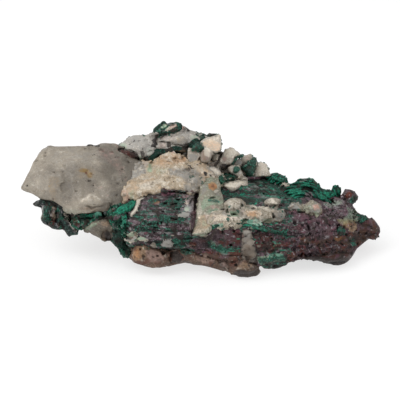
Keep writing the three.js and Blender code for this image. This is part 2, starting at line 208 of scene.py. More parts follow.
def patches(points, size, cover, seed, soft=0.12):
    """Irregular patches about `size` across that cover that share of the surface."""
    value = layers(points, size, seed, 4, 0.6)
    edge = np.quantile(value, 1 - cover)
    return step(value, edge - soft, edge + soft)


def behind(facing):
    """1 on what faces away from the front, 0 on what faces it."""
    return step(-(facing @ TOWARDS), *EDGE_ON)


def ahead(facing):
    """1 on what faces the front, 0 on what faces away from it."""
    return step(facing @ TOWARDS, *EDGE_ON)


# Solids of the frame


def mesh_arrays(mesh):
    """A mesh's vertices and its triangles."""
    mesh.calc_loop_triangles()
    points = np.empty(len(mesh.vertices) * 3, np.float32)
    mesh.vertices.foreach_get("co", points)
    triangles = np.empty(len(mesh.loop_triangles) * 3, np.int32)
    mesh.loop_triangles.foreach_get("vertices", triangles)
    return points.reshape(-1, 3), triangles.reshape(-1, 3)


def node_arrays(name):
    """A node's vertices in millimetres and its triangles."""
    points, triangles = mesh_arrays(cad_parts[name].data)
    return points / MM, triangles


MAP_SHAPE = (182, 378)  # rows and columns of the image that the specimen shows in
MAP_MARGIN = 8  # pixels beside the specimen that take the distance of its edge


class Finder:
    """Finds the point of the specimen that shows at a place in the image."""

    def __init__(self):
        points, faces = [], []
        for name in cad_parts:
            vertices, triangles = node_arrays(name)
            faces += (triangles.astype(int) + len(points)).tolist()
            points += [Vector(v) for v in vertices.tolist()]
        self.tree = BVHTree.FromPolygons(points, faces)
        self.left, self.top = 12, 108
        self.map = np.full(MAP_SHAPE, np.nan, np.float32)
        for y, x in np.ndindex(*MAP_SHAPE):
            hit = self.tree.ray_cast(EYE, ray(self.left + x, self.top + y))[0]
            if hit is not None:
                self.map[y, x] = -float(np.array(hit - EYE, np.float32) @ TOWARDS)
        for _ in range(MAP_MARGIN):
            near = [np.roll(self.map, (dy, dx), (0, 1)) for dy in (-1, 0, 1) for dx in (-1, 0, 1)]
            count = sum(np.isfinite(values) for values in near)
            total = sum(np.nan_to_num(values) for values in near)
            fill = np.isnan(self.map) & (count > 0)
            self.map[fill] = total[fill] / count[fill]
        self.map = np.nan_to_num(self.map, nan=1e4)

    def depth(self, px, py):
        """How far away along the view the solids are at places in the image."""
        x = np.clip(px - self.left, 0, self.map.shape[1] - 1.001)
        y = np.clip(py - self.top, 0, self.map.shape[0] - 1.001)
        column, row = x.astype(int), y.astype(int)
        return (
            self.map[row, column] * (1 - (x - column)) * (1 - (y - row))
            + self.map[row, column + 1] * (x - column) * (1 - (y - row))
            + self.map[row + 1, column] * (1 - (x - column)) * (y - row)
            + self.map[row + 1, column + 1] * (x - column) * (y - row)
        )

    def at(self, px, py):
        """The nearest stone beside a place counts where the place is off the stone."""
        towards = ray(px, py)
        hit = self.tree.ray_cast(EYE, towards)[0]
        for reach in (1, 2, 3, 4, 5):
            for angle in range(0, 360, 30):
                if hit is None:
                    aside = reach * math.cos(math.radians(angle)), reach * math.sin(math.radians(angle))
                    near = self.tree.ray_cast(EYE, ray(px + aside[0], py + aside[1]))[0]
                    if near is not None:
                        hit = EYE + towards * ((near.y - EYE.y) / towards.y)
        return np.array(hit, np.float32)


FINDER = Finder()

# Bodies


def blurred(values, radius):
    """Box blur along the three axes."""
    width = 2 * radius + 1
    for axis in range(3):
        moved = np.moveaxis(values, axis, 0)
        padded = np.concatenate([moved[:1]] * (radius + 1) + [moved] + [moved[-1:]] * radius)
        total = np.cumsum(padded, 0, dtype=np.float64)
        moved = ((total[width:] - total[:-width]) / width).astype(np.float32)
        values = np.moveaxis(moved, 0, axis)
    return np.ascontiguousarray(values)


class Body:
    """A mineral body as signed distances to its surface, below 0 inside, at the points of a lattice.
    It starts as the frame's solid, larger by `grow`."""

    def __init__(self, name, grow, voxel, pad=2.2):
        self.name = name
        self.voxel = voxel
        self.random = np.random.default_rng(sum(map(ord, name)))
        points, triangles = node_arrays(name)
        grid = openvdb.FloatGrid.createLevelSetFromPolygons(
            points, triangles=triangles.astype(np.uint32),
            transform=openvdb.createLinearTransform(voxelSize=voxel),
            exBandWidth=REACH / voxel, inBandWidth=REACH / voxel)
        self.low = np.floor((points.min(0) - pad) / voxel).astype(int)
        self.shape = tuple(np.ceil((points.max(0) + pad) / voxel).astype(int) - self.low + 1)
        self.distance = np.empty(self.shape, np.float32)
        grid.copyToArray(self.distance, ijk=tuple(int(i) for i in self.low))
        self.distance -= grow
        self.tint = np.zeros(self.shape, np.float32)
        self.kind = np.zeros(self.shape, np.uint8)
        self.shown = None

    def places(self, index):
        """The cells and the places of lattice points."""
        cell = np.stack(np.unravel_index(index, self.shape), 1)
        return cell, ((cell + self.low) * self.voxel).astype(np.float32)

    def raise_by(self, relief, reach=1.6):
        """Moves the surface outwards by relief(points)."""
        index = np.flatnonzero(np.abs(self.distance) < reach)
        moved = np.clip(relief(self.places(index)[1]), -reach * 0.9, reach * 0.9)
        self.distance.ravel()[index] -= moved.astype(np.float32)

    def soften(self, share, radius=1):
        self.distance += share * (blurred(self.distance, radius) - self.distance)

    def seeds(self, count, where):
        """Places on the surface, with the directions that they face."""
        index = np.flatnonzero(np.abs(self.distance) < 0.6 * self.voxel)
        tried = min(len(index), count if where is None else TRIED_PLACES)
        index = self.random.choice(index, tried, replace=False)
        cell, points = self.places(index)
        inner = ((cell > 1) & (cell < np.array(self.shape) - 2)).all(1)
        cell, points = cell[inner], points[inner]
        facing = np.stack([self.distance[tuple((cell + offset).T)] - self.distance[tuple((cell - offset).T)]
                           for offset in np.eye(3, dtype=int)], 1)
        facing /= np.linalg.norm(facing, axis=1, keepdims=True) + 1e-6
        if where is not None:
            keep = self.random.random(len(points)) < where(points, facing)
            points, facing = points[keep][:count], facing[keep][:count]
        return points, facing

    def add(self, places, sizes, turns, shape, kind, cut):
        """Joins small shapes to the body, or cuts them out.
        sizes are their half lengths along their own axes, and turns hold those axes."""
        places, sizes, turns = (np.asarray(values, np.float32) for values in (places, sizes, turns))
        tints = self.random.random(len(places)) * 2 - 1
        reach = np.ceil(np.linalg.norm(sizes, axis=1) / self.voxel + 1).astype(int)
        flat, limit = self.distance.ravel(), np.array(self.shape)
        for half in np.unique(reach):
            chosen = np.flatnonzero(reach == half)
            line = np.arange(-half, half + 1)
            window = np.stack(np.meshgrid(line, line, line, indexing="ij"), -1).reshape(-1, 3)
            batch = max(1, BATCH_CELLS // len(window))
            for start in range(0, len(chosen), batch):
                part = chosen[start : start + batch]
                middle = np.round(places[part] / self.voxel).astype(int) - self.low
                cell = middle[:, None] + window[None]
                arm = ((cell + self.low) * self.voxel - places[part][:, None]).astype(np.float32)
                arm = np.einsum("nwi,nij->nwj", arm, turns[part])
                far = self.shape_distance(arm, sizes[part][:, None], shape)
                inside = ((cell >= 0) & (cell < limit)).all(2) & (far < 3 * self.voxel)
                owner = np.broadcast_to(part[:, None], far.shape)[inside]
                cell, far = cell[inside], far[inside]
                index = (cell[:, 0] * limit[1] + cell[:, 1]) * limit[2] + cell[:, 2]
                if cut:
                    np.maximum.at(flat, index, -far)
                    mine = (flat[index] == -far) & (far < self.voxel)
                else:
                    np.minimum.at(flat, index, far)
                    mine = flat[index] == far
                self.tint.ravel()[index[mine]] = tints[owner[mine]]
                self.kind.ravel()[index[mine]] = KINDS.index(kind)

    @staticmethod
    def shape_distance(arm, sizes, shape):
        if shape == "ball":
            return (np.linalg.norm(arm / sizes, axis=2) - 1) * sizes.min(2)
        box = (np.abs(arm) - sizes).max(2)
        if shape == "grain":
            corner = (np.abs(arm) / sizes).sum(2) - 2.05
            return np.maximum(box, corner * sizes.min(2) * 0.6)
        return box

    def scatter(self, count, size, flat=1.0, sink=0.3, where=None, shape="grain", kind="host",
                lie=0.0, axis=None, cut=False):
        """Grains of between size[0] and size[1] millimetres that stand out of the surface.
        flat is their thickness for their width, and lie is how strictly they lie along the surface,
        or across axis. where(points, facing) is their chance to grow at a place."""
        points, facing = self.seeds(count, where)
        grains = len(points)
        half = 0.5 * (size[0] + (size[1] - size[0]) * self.random.random(grains) ** 2)
        sizes = half[:, None] * (0.75 + 0.5 * self.random.random((grains, 3)))
        sizes[:, 2] *= flat
        spin = self.random.normal(size=(grains, 3))
        across = facing if axis is None else np.array(axis)
        up = self.random.normal(size=(grains, 3)) * (1 - lie) + across * lie * 3
        up /= np.linalg.norm(up, axis=1, keepdims=True)
        side = np.cross(spin, up)
        side /= np.linalg.norm(side, axis=1, keepdims=True) + 1e-6
        turns = np.stack([side, np.cross(up, side), up], 2)
        self.add(points - facing * (sink * half)[:, None], sizes, turns, shape, kind, cut)

    def pit(self, count, size, sink):
        """Small round holes in the surface."""
        self.scatter(count, size, sink=sink, shape="ball", cut=True)

    def place(self, lumps, sink, shape="ball", kind="host", cut=False):
        """Lumps that show at (px, py, half width, half height and turn in the image), sizes in pixels."""
        places, sizes, turns = [], [], []
        for px, py, wide, tall, turn in lumps:
            half = np.array((wide, tall, LUMP_DEPTH * min(wide, tall)), np.float32) * PX_MM
            cosine, sine = math.cos(math.radians(turn)), math.sin(math.radians(turn))
            turns.append(np.stack([cosine * RIGHT + sine * UP, cosine * UP - sine * RIGHT, TOWARDS], 1))
            places.append(FINDER.at(px, py) - TOWARDS * sink * half[2])
            sizes.append(half)
        self.add(places, sizes, turns, shape, kind, cut)

    def seen(self):
        """Where the lattice points show in the image, how far in front of the solids and how far away."""
        if self.shown is None:
            _, self.points = self.places(np.arange(self.distance.size))
            px, py, away = project(self.points)
            self.shown = px, py, FINDER.depth(px, py) - away, away
        return self.shown

    def within(self, outline, wobble):
        """Lattice points about an outline: how far in they are, how far in front and how far away."""
        px, py, front, away = self.seen()
        index = around(outline, px, py, front, margin=5, behind_by=6)
        points = self.points[index]
        x = px[index] + wobble * noise(points, 1.3, 21)
        y = py[index] + wobble * noise(points, 1.3, 22)
        return index, -outline_distance(x, y, outline) * PX_MM, front[index], away[index]

    def swell(self, outline, height, round_by=0.6, deep=2.0, wobble=0.7, kind="host", tilt=None):
        """Adds a lump of an outline that stands height millimetres in front of the solids.
        With tilt it is a flat face instead, that comes forward so much for each millimetre right and up."""
        index, inside, front, away = self.within(outline, wobble)
        edge = np.clip(inside / round_by, 0, 1)
        profile = height - max(abs(height), 0.5) * (1 - np.sqrt(edge * (2 - edge)))
        if tilt is not None:
            middle = outline.mean(0)
            px, py = self.shown[0][index], self.shown[1][index]
            front = FINDER.depth(*middle[:, None]) - away
            profile += (tilt[0] * (px - middle[0]) - tilt[1] * (py - middle[1])) * PX_MM
        far = np.maximum(np.maximum(-inside, front - profile), -deep - front)
        flat = self.distance.ravel()
        mine = (far < flat[index]) & (far < self.voxel)
        self.kind.ravel()[index[mine]] = KINDS.index(kind)
        self.tint.ravel()[index[mine]] = self.random.random() * 1.2 - 0.6
        flat[index] = np.minimum(flat[index], far)

    def dig(self, outline, depth, round_by=0.6, wobble=0.7):
        """Takes away what stands less than depth millimetres behind the solids' faces, inside an outline."""
        index, inside, front, _ = self.within(outline, wobble)
        edge = np.clip(inside / round_by, 0, 1)
        far = np.minimum(inside, front + depth * np.sqrt(edge * (2 - edge)))
        flat = self.distance.ravel()
        flat[index] = np.maximum(flat[index], far)

    def trim(self, outline, wobble):
        """Keeps what shows inside an outline."""
        px, py, _, _ = self.seen()
        index = np.flatnonzero(np.abs(self.distance) < REACH)
        x = px[index] + wobble * noise(self.points[index], 1.5, 23)
        y = py[index] + wobble * noise(self.points[index], 1.5, 24)
        flat = self.distance.ravel()
        flat[index] = np.maximum(flat[index], outline_distance(x, y, outline) * PX_MM)

    def carve(self, text):
        """Works through a list of swell, dig, trim, ball and grain entries.
        Numbers stand in the order of the method's parameters, and a kind after them. An entry without
        a verb is like the last one, but for its first number."""
        methods = {"swell": self.swell, "dig": self.dig, "trim": self.trim}
        before = []
        for words, places in listed(text):
            if not words[0].isalpha():
                words = before[:1] + words + before[2:]
            before = words
            options = {"kind": words[-1]} if words[-1] in KINDS else {}
            numbers = [float(word) for word in words[1:] if not word.isalpha()]
            if words[0] in ("ball", "grain"):
                self.place(places, *numbers, shape=words[0], **options)
            else:
                methods[words[0]](ring(places), *numbers, **options)

    def sample(self, values, points):
        cell = np.round(points / self.voxel).astype(int) - self.low
        cell = np.clip(cell, 0, np.array(self.shape) - 1)
        return values[tuple(cell.T)]

    def surface(self):
        """Vertices and quads of the finished surface, cut off flat at the ground."""
        height = (np.indices(self.shape, dtype=np.float32)[2] + self.low[2]) * self.voxel
        self.distance = np.maximum(self.distance, 0.02 - height)
        grid = openvdb.FloatGrid(REACH)
        grid.transform = openvdb.createLinearTransform(voxelSize=self.voxel)
        grid.copyFromArray(np.clip(self.distance, -REACH, REACH), ijk=tuple(int(i) for i in self.low))
        points, quads = grid.convertToQuads(0.0)
        return main_islands(points, quads.astype(np.int64))


def main_islands(points, quads):
    """Drops crumbs that hang on nothing."""
    label = np.arange(len(points))
    edges = np.concatenate([quads[:, [0, 1]], quads[:, [1, 2]], quads[:, [2, 3]]])
    before = None
    while before is None or (label != before).any():
        before = label.copy()
        low = np.minimum(label[edges[:, 0]], label[edges[:, 1]])
        np.minimum.at(label, edges[:, 0], low)
        np.minimum.at(label, edges[:, 1], low)
        label = label[label]
        label = label[label]
    keep = np.bincount(label, minlength=len(points))[label] >= LEAST_POINTS
    number = np.cumsum(keep) - 1
    return points[keep], number[quads[keep[quads[:, 0]]]]


def make_mesh(name, points, faces):
    """A smooth mesh of faces that all have the same number of corners."""
    mesh = bpy.data.meshes.new(name)
    mesh.vertices.add(len(points))
    mesh.vertices.foreach_set("co", points.astype(np.float32).ravel())
    mesh.loops.add(faces.size)
    mesh.loops.foreach_set("vertex_index", faces.ravel().astype(np.int32))
    mesh.polygons.add(len(faces))
    mesh.polygons.foreach_set("loop_start", np.arange(0, faces.size, faces.shape[1], dtype=np.int32))
    mesh.update(calc_edges=True)
    mesh.validate()
    mesh.shade_smooth()
    return mesh


def thinned(points, quads):
    """Joins the flattest faces of a surface until it has no more than MOST_TRIANGLES."""
    holder = bpy.data.objects.new("thinned", make_mesh("thinned", points, quads))
    bpy.context.scene.collection.objects.link(holder)
    holder.modifiers.new("thinned", "DECIMATE").ratio = MOST_TRIANGLES / (2 * len(quads))
    mesh = bpy.data.meshes.new_from_object(holder.evaluated_get(bpy.context.evaluated_depsgraph_get()))
    points, triangles = mesh_arrays(mesh)
    for done in (holder.data, mesh):
        bpy.data.meshes.remove(done)
    return points, triangles


# Stains


def spots(points, places, seed):
    """A mask that is 1 at the listed (px, py, radius in px) and fades beyond their radii."""
    shifted = points + 0.5 * np.stack([noise(points, 2.0, seed + i) for i in range(3)], 1)
    mask = np.zeros(len(points), np.float32)
    for px, py, radius in places:
        far = np.linalg.norm(shifted - FINDER.at(px, py), axis=1) / (radius * PX_MM)
        mask = np.maximum(mask, 1 - step(far, 0.6, 1.3))
    return mask


def area(points, facing, corners, soft=0.9):
    """A mask that is 1 on what shows inside an outline of the image."""
    outline = ring(corners)
    px, py, away = project(points)
    front = FINDER.depth(px, py) - away
    index = around(outline, px, py, front, margin=3 + soft, behind_by=3.5)
    part = points[index]
    x, y = (v[index] + 0.8 * noise(part, 1.1, seed) for v, seed in ((px, 31), (py, 32)))
    mask = np.zeros(len(points), np.float32)
    mask[index] = step(-outline_distance(x, y, outline), -soft, soft) * ahead(facing[index])
    return mask


def plus(made, name, value):
    made[name] = np.maximum(made.get(name, 0), value)


def stained(points, facing, stains, soft, glow):
    """Masks from a list of stains. Each has a name, and shares with the outline or the spots they cover.
    light is painted light and shade: it brightens or darkens what is beneath instead of staining it, darker
    below 0."""
    made = {}
    for words, places in listed(stains):
        if words[0].isalpha():
            name = words[0]
            made[name] = np.zeros(len(points), np.float32)
        marks = [place for place in places if len(place) == 3]
        if marks:
            plus(made, name, spots(points, marks, 3 * (len(made) - 1)))
        corners = [place for place in places if len(place) == 2]
        if corners and name == "light":
            made[name] += float(words[-1]) * area(points, facing, corners, glow)
        elif corners:
            plus(made, name, float(words[-1]) * area(points, facing, corners, soft))
    return made


def speckle(made, points, facing, speckles):
    """Adds patches to the masks. A line has a stain, a share, the patches' size, cover, seed and
    softness, and the word back where only the back has them."""
    for line in speckles.strip().splitlines():
        name, share, size, cover, seed, *rest = line.split()
        at_back = rest[-1:] == ["back"]
        soft = [float(word) for word in (rest[:-1] if at_back else rest)]
        mask = float(share) * patches(points, float(size), float(cover), int(seed), *soft)
        plus(made, name, mask * behind(facing) if at_back else mask)


def build(body, material, stains, speckles="", also=None, soft=0.9, glow=4.0):
    """Makes the body's mesh, gives it its masks and hides the solid that it stands for."""
    points, faces = body.surface()
    if 2 * len(faces) > MOST_TRIANGLES:
        points, faces = thinned(points, faces)
    mesh = make_mesh(body.name + "_surface", points * MM, faces)
    facing = np.empty(len(mesh.vertices) * 3, np.float32)
    mesh.vertices.foreach_get("normal", facing)
    facing = facing.reshape(-1, 3)
    here = body.sample(body.distance, points)
    kind = body.sample(body.kind, points)
    base = {"tint": body.sample(body.tint, points)}
    for name, radius in (("edge", 2), ("swell", 5)):
        base[name] = (body.sample(blurred(body.distance, radius), points) - here) / body.voxel
    for number in range(1, len(KINDS)):
        base["is_" + KINDS[number]] = (kind == number).astype(np.float32)
    made = stained(points, facing, stains, soft, glow)
    speckle(made, points, facing, speckles)
    if also:
        also(made, points, facing, base)
    for name, value in {**base, **made}.items():
        mesh.attributes.new(name, "FLOAT", "POINT").data.foreach_set("value", value.astype(np.float32))
    piece = bpy.data.objects.new(body.name + "_surface", mesh)
    bpy.context.scene.collection.objects.link(piece)
    mesh.materials.append(material)
    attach(piece, "root")
    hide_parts(body.name)


# Materials


def colour(text):
    """A colour like b4ae9f as linear light."""
    parts = [int(text[i : i + 2], 16) / 255 for i in (0, 2, 4)]
    return [c / 12.92 if c <= 0.04045 else ((c + 0.055) / 1.055) ** 2.4 for c in parts] + [1.0]


class Paint:
    """A node material: its methods add nodes and give their outputs."""

    def __init__(self, name):
        self.material = bpy.data.materials.new(name)
        self.material.use_nodes = True
        self.tree = self.material.node_tree
        self.shader = self.tree.nodes["Principled BSDF"]
        self.place = self.node("TexCoord", "Object")

    def node(self, kind, output, inputs=(), **settings):
        """Adds a node, sets it up, feeds its inputs and gives an output."""
        node = self.tree.nodes.new("ShaderNode" + kind)
        for name, value in settings.items():
            setattr(node, name, value)
        self.feed(node, inputs)
        return node.outputs[output]

    def feed(self, node, inputs):
        """Links outputs of other nodes to inputs, and sets inputs to numbers and colours."""
        for name in inputs:
            value = inputs[name]
            if isinstance(value, bpy.types.NodeSocket):
                self.tree.links.new(value, node.inputs[name])
            else:
                node.inputs[name].default_value = colour(value) if isinstance(value, str) else value

    def attribute(self, name):
        return self.node("Attribute", "Fac", attribute_name=name)

    def grain(self, size, detail):
        """Fractal noise over 0 to 1 whose lumps are `size` millimetres across."""
        value = self.node("TexNoise", "Fac", {
            "Vector": self.place, "Scale": 1 / (size * MM), "Detail": detail, "Roughness": 0.6,
            "Distortion": 0.3})
        return self.node("MapRange", "Result", {"Value": value, "From Min": 0.32, "From Max": 0.68})

    def blend(self, share, a, b):
        return self.node("Mix", 0, {0: share, 2: a, 3: b})

    def mix(self, share, a, b, kind="MIX"):
        return self.node("Mix", 2, {0: share, 6: a, 7: b}, data_type="RGBA", blend_type=kind)

    def math(self, kind, a, b):
        return self.node("Math", 0, {0: a, 1: b}, operation=kind)

    def step(self, value, low, high, to_low=0.0, to_high=1.0):
        ends = {"From Min": low, "From Max": high, "To Min": to_low, "To Max": to_high}
        return self.node("MapRange", "Result", {"Value": value, **ends}, interpolation_type="SMOOTHSTEP")

    def shade(self, base, value, low, high, darkest, brightest=1.0):
        """Multiplies the base by a grey that follows a value."""
        grey = self.step(value, low, high, darkest, brightest)
        return self.mix(1.0, base, self.node("CombineColor", 0, {0: grey, 1: grey, 2: grey}), "MULTIPLY")

    def finish(self, base, roughness, bumps, metallic, translucent, specular):
        """bumps are pairs of a height from 0 to 1 and its depth in millimetres."""
        normal = {}
        for height, depth in bumps:
            inputs = {"Strength": 1.0, "Distance": depth * MM, "Height": height}
            normal = {"Normal": self.node("Bump", "Normal", {**inputs, **normal})}
        self.feed(self.shader, {
            "Base Color": base, "Roughness": roughness, "Metallic": metallic, "Specular IOR Level": specular,
            "Subsurface Weight": translucent, "Subsurface Radius": (1.0, 0.85, 0.7),
            "Subsurface Scale": 1.6 * MM, **normal})
        return self.material


# The silvery stain is partly the copper's own bright metal and partly painted glints and highlights.
STAINS = {
    "taupe": "857a6f", "grey": "8b8a87", "pink": "ab8e85", "peach": "c7a685", "tan": "a08468",
    "ochre": "8a6c36", "orange": "ad7440", "rust": "5e2c20", "brown": "54402f", "mauve": "6a5860",
    "plum": "6b3f4c", "mint": "8fa78e", "teal": "64a08c", "pale": "d0c8ba", "silver": "a8a3a6",
}


def mineral(name, tones, hollow_shade_tone, hollow_shade_strength, depth, rough, metal=0.0, translucent=0.0, specular=0.4, grit=0.8):
    """A mineral's node material: a dark, a middle and a light tone, and what grows on it or stains it.
    The tone and the strength that follow the tones are those of the painted shade in its hollows, depth is
    the height of its bumps in millimetres, and grit is the share of its light specks."""
    paint = Paint(name)
    broad = paint.grain(4.5, 3)
    fine = paint.grain(1.1, 4)
    speck = paint.grain(0.45, 3)
    tint = paint.attribute("tint")
    mottle = paint.math("ADD", paint.math("MULTIPLY", broad, 0.6), paint.math("MULTIPLY", fine, 0.4))
    base = paint.mix(mottle, tones[0], tones[1])
    base = paint.mix(paint.step(speck, 0.45, 1.0, 0, grit), base, tones[2])
    broken = paint.math("ADD", 0.5, paint.math("MULTIPLY", paint.math("ADD", fine, speck), 0.5))
    metallic, roughness = metal, paint.step(fine, 0.2, 0.8, *rough)

    def cover(share, tones, matt, metal_here=0.0):
        nonlocal base, metallic, roughness
        tone = paint.mix(fine, tones[0], tones[1])
        tone = paint.mix(paint.step(speck, 0.4, 1.0), tone, tones[2])
        base = paint.mix(share, base, paint.shade(tone, tint, -1, 1, 0.7, 1.25))
        metallic = paint.blend(share, metallic, metal_here)
        roughness = paint.blend(share, roughness, matt)

    def crust(attribute, tones, matt, metal_here=0.0):
        value = paint.math("ADD", paint.attribute(attribute), paint.math("MULTIPLY", speck, 0.3))
        cover(paint.step(value, 0.45, 0.8), tones, matt, metal_here)

    def bloom(attribute, tones, matt):
        mask = paint.math("MULTIPLY", paint.attribute(attribute), broken)
        cover(paint.step(mask, 0.3, 0.85, 0, 0.95), tones, matt)

    crust("is_calcite", ("8a8173", "a39a8c", "c0b8ac"), 0.55)
    crust("is_copper", ("2e2427", "4c3f43", "786a70"), 0.42, 0.5)
    crust("is_iron", ("1e100e", "361b17", "58322a"), 0.5)
    for stain, tone in STAINS.items():
        mask = paint.math("MULTIPLY", paint.attribute(stain), broken)
        base = paint.mix(paint.step(mask, 0.2, 1.05, 0, 0.85), base, tone)
    base = paint.shade(base, tint, -1, 1, 0.82, 1.12)
    # painted light and shade from the light masks, brighter above 0 and darker below
    base = paint.shade(base, paint.attribute("light"), -1, 1, 0.6, 1.4)
    crust("is_malachite", ("08241c", "0f4032", "227058"), 0.55)
    bloom("green", ("0a241d", "154336", "3c7866"), 0.6)
    # shade is the darkest malachite green; green_also also lays it into hollows as painted shade
    bloom("shade", ("041510", "08231b", "113c2f"), 0.6)
    bloom("bright", ("0f5341", "19755b", "33a081"), 0.6)
    crust("is_dark", ("15110f", "241c19", "3b322d"), 0.5)
    # dark stands for dark grains and pits, and in some lists for painted shade in crevices, grooves and gaps
    bloom("dark", ("1b1512", "2c2420", "433832"), 0.55)
    # painted shade: darkens the hollows, where the surface is concave, towards the shade tone
    base = paint.mix(paint.step(paint.attribute("edge"), -0.7, 0.02, hollow_shade_strength, 0), base, hollow_shade_tone)
    bumps = [(fine, depth), (speck, depth * 0.4)]
    return paint.finish(base, roughness, bumps, metallic, translucent, specular)


# Outlines that several lists use. A 1, their share, stands between two outlines of one list.

PANEL_TOP = """
139.5,200.2 143,199.6 146,197 147,194.4 151,194 154,195.3 158,195.3 160,192 162,188 163.7,186.8 166,188.6
169,190 174,190.3 179,190.8 182,192.8 184,196
"""
HOOD_NOTCH = """
286,170 294,170 302,176 298,179.4 294.6,182.6 291,184 288.6,183.6 287.6,181.4 287.4,179
"""
VEIN = """
243,229.4 247,229 252,231 252.4,238 254.4,244 256.2,250 256,257 258,262 250,263 242,266 236,268 241,258
241,248 242,240
"""
BARE_LUMPS = "1 217,230 240,228 242,246 226,248 217,242 1 255,232 266,231 277,238 274,252 262,254 256,248"
COPPER_GREEN = """
160,206 162,202 167,199.5 171,198 176,199 179,202 182,205 181,209 176,209.5 170,207 166,206 162,208
1 157,213 164,214 169,215.5 170,218 176,218.5 182,217.5 184,220 182,223 176,224 170,223.5 162,224 158,222
1 136,208 139,210 141,214 143,218 148,221 146,224 140,222 136,219 133,217 136,213
1 148,225 156,224.5 160,227 159,229.5 153,229 148,228
1 141,224 148,228 153,230 150,232 142,230 138,226
1 166,228 172,227 177,228.5 178,231 170,231.5 166,230.5
1 172,239 178,238.5 184,241 186,246 182,248.5 178,247 174,243
1 183,238 188,237 193,237.5 197,236.5 196,238.5 190,240 185,240
1 157,242 162,246 160,249 156,247
1 206,241 213,240 216,244 222,246 227,249 229,253 226,256 220,254 214,250 208,247
1 187,250 191,248.5 195,250 194,253 190,254
1 256,256 262,258 268,254 274,252.5 280,253.5 286,256 288,260 287,264 283,266 278,268 272,268.5 264,268
259,264
1 235,222.5 240,222.5 246,224 252,225 257,226 262,225.5 268,227 274,229.5 280,231.5 287,231 287,235 280,235.5
274,233 268,231 262,231 258,229 250,226.5 242,225.5 236,224
1 220,187 226,191 232,192.5 240,192 246,190 252,188.5 256,190 252,192.4 244,194.4 236,196 228,196 221,194
1 256,182.6 262,183 266,185 272,184 277,185 272,187.4 264,187.4 257,186.4
1 262,188 270,190 276,188.6 284,190 286,196 276,195 268,197 262,195
1 243,200 250,199.4 257,201 256,204.6 246,204.4
1 270,204.5 274,203.6 278,205 276,208.4 271,208.4
1 281,196 288,196 300,198 303,203 292,204 282,203
1 270,175 273,173.2 278,173 281,175 285,176.5 286.5,179.5 285,182 281,182.5 276,181 272,179.5 269,177.5
1 337,228 341,226 345,229 346,233 341,234.5 337,232
1 349,237 353,237 355,241 356,246 353,246 350,242
1 357,215 362,215 366,216.5 368,219 364,221.5 360,222.5 357,219
1 353,196 357,197 356.6,201.6 351,204 347,201.6 350,199
1 125,217 129,222 128,232 124,230
1 131,228 137,226 140,230 138,236 132,234
"""


# Calcite


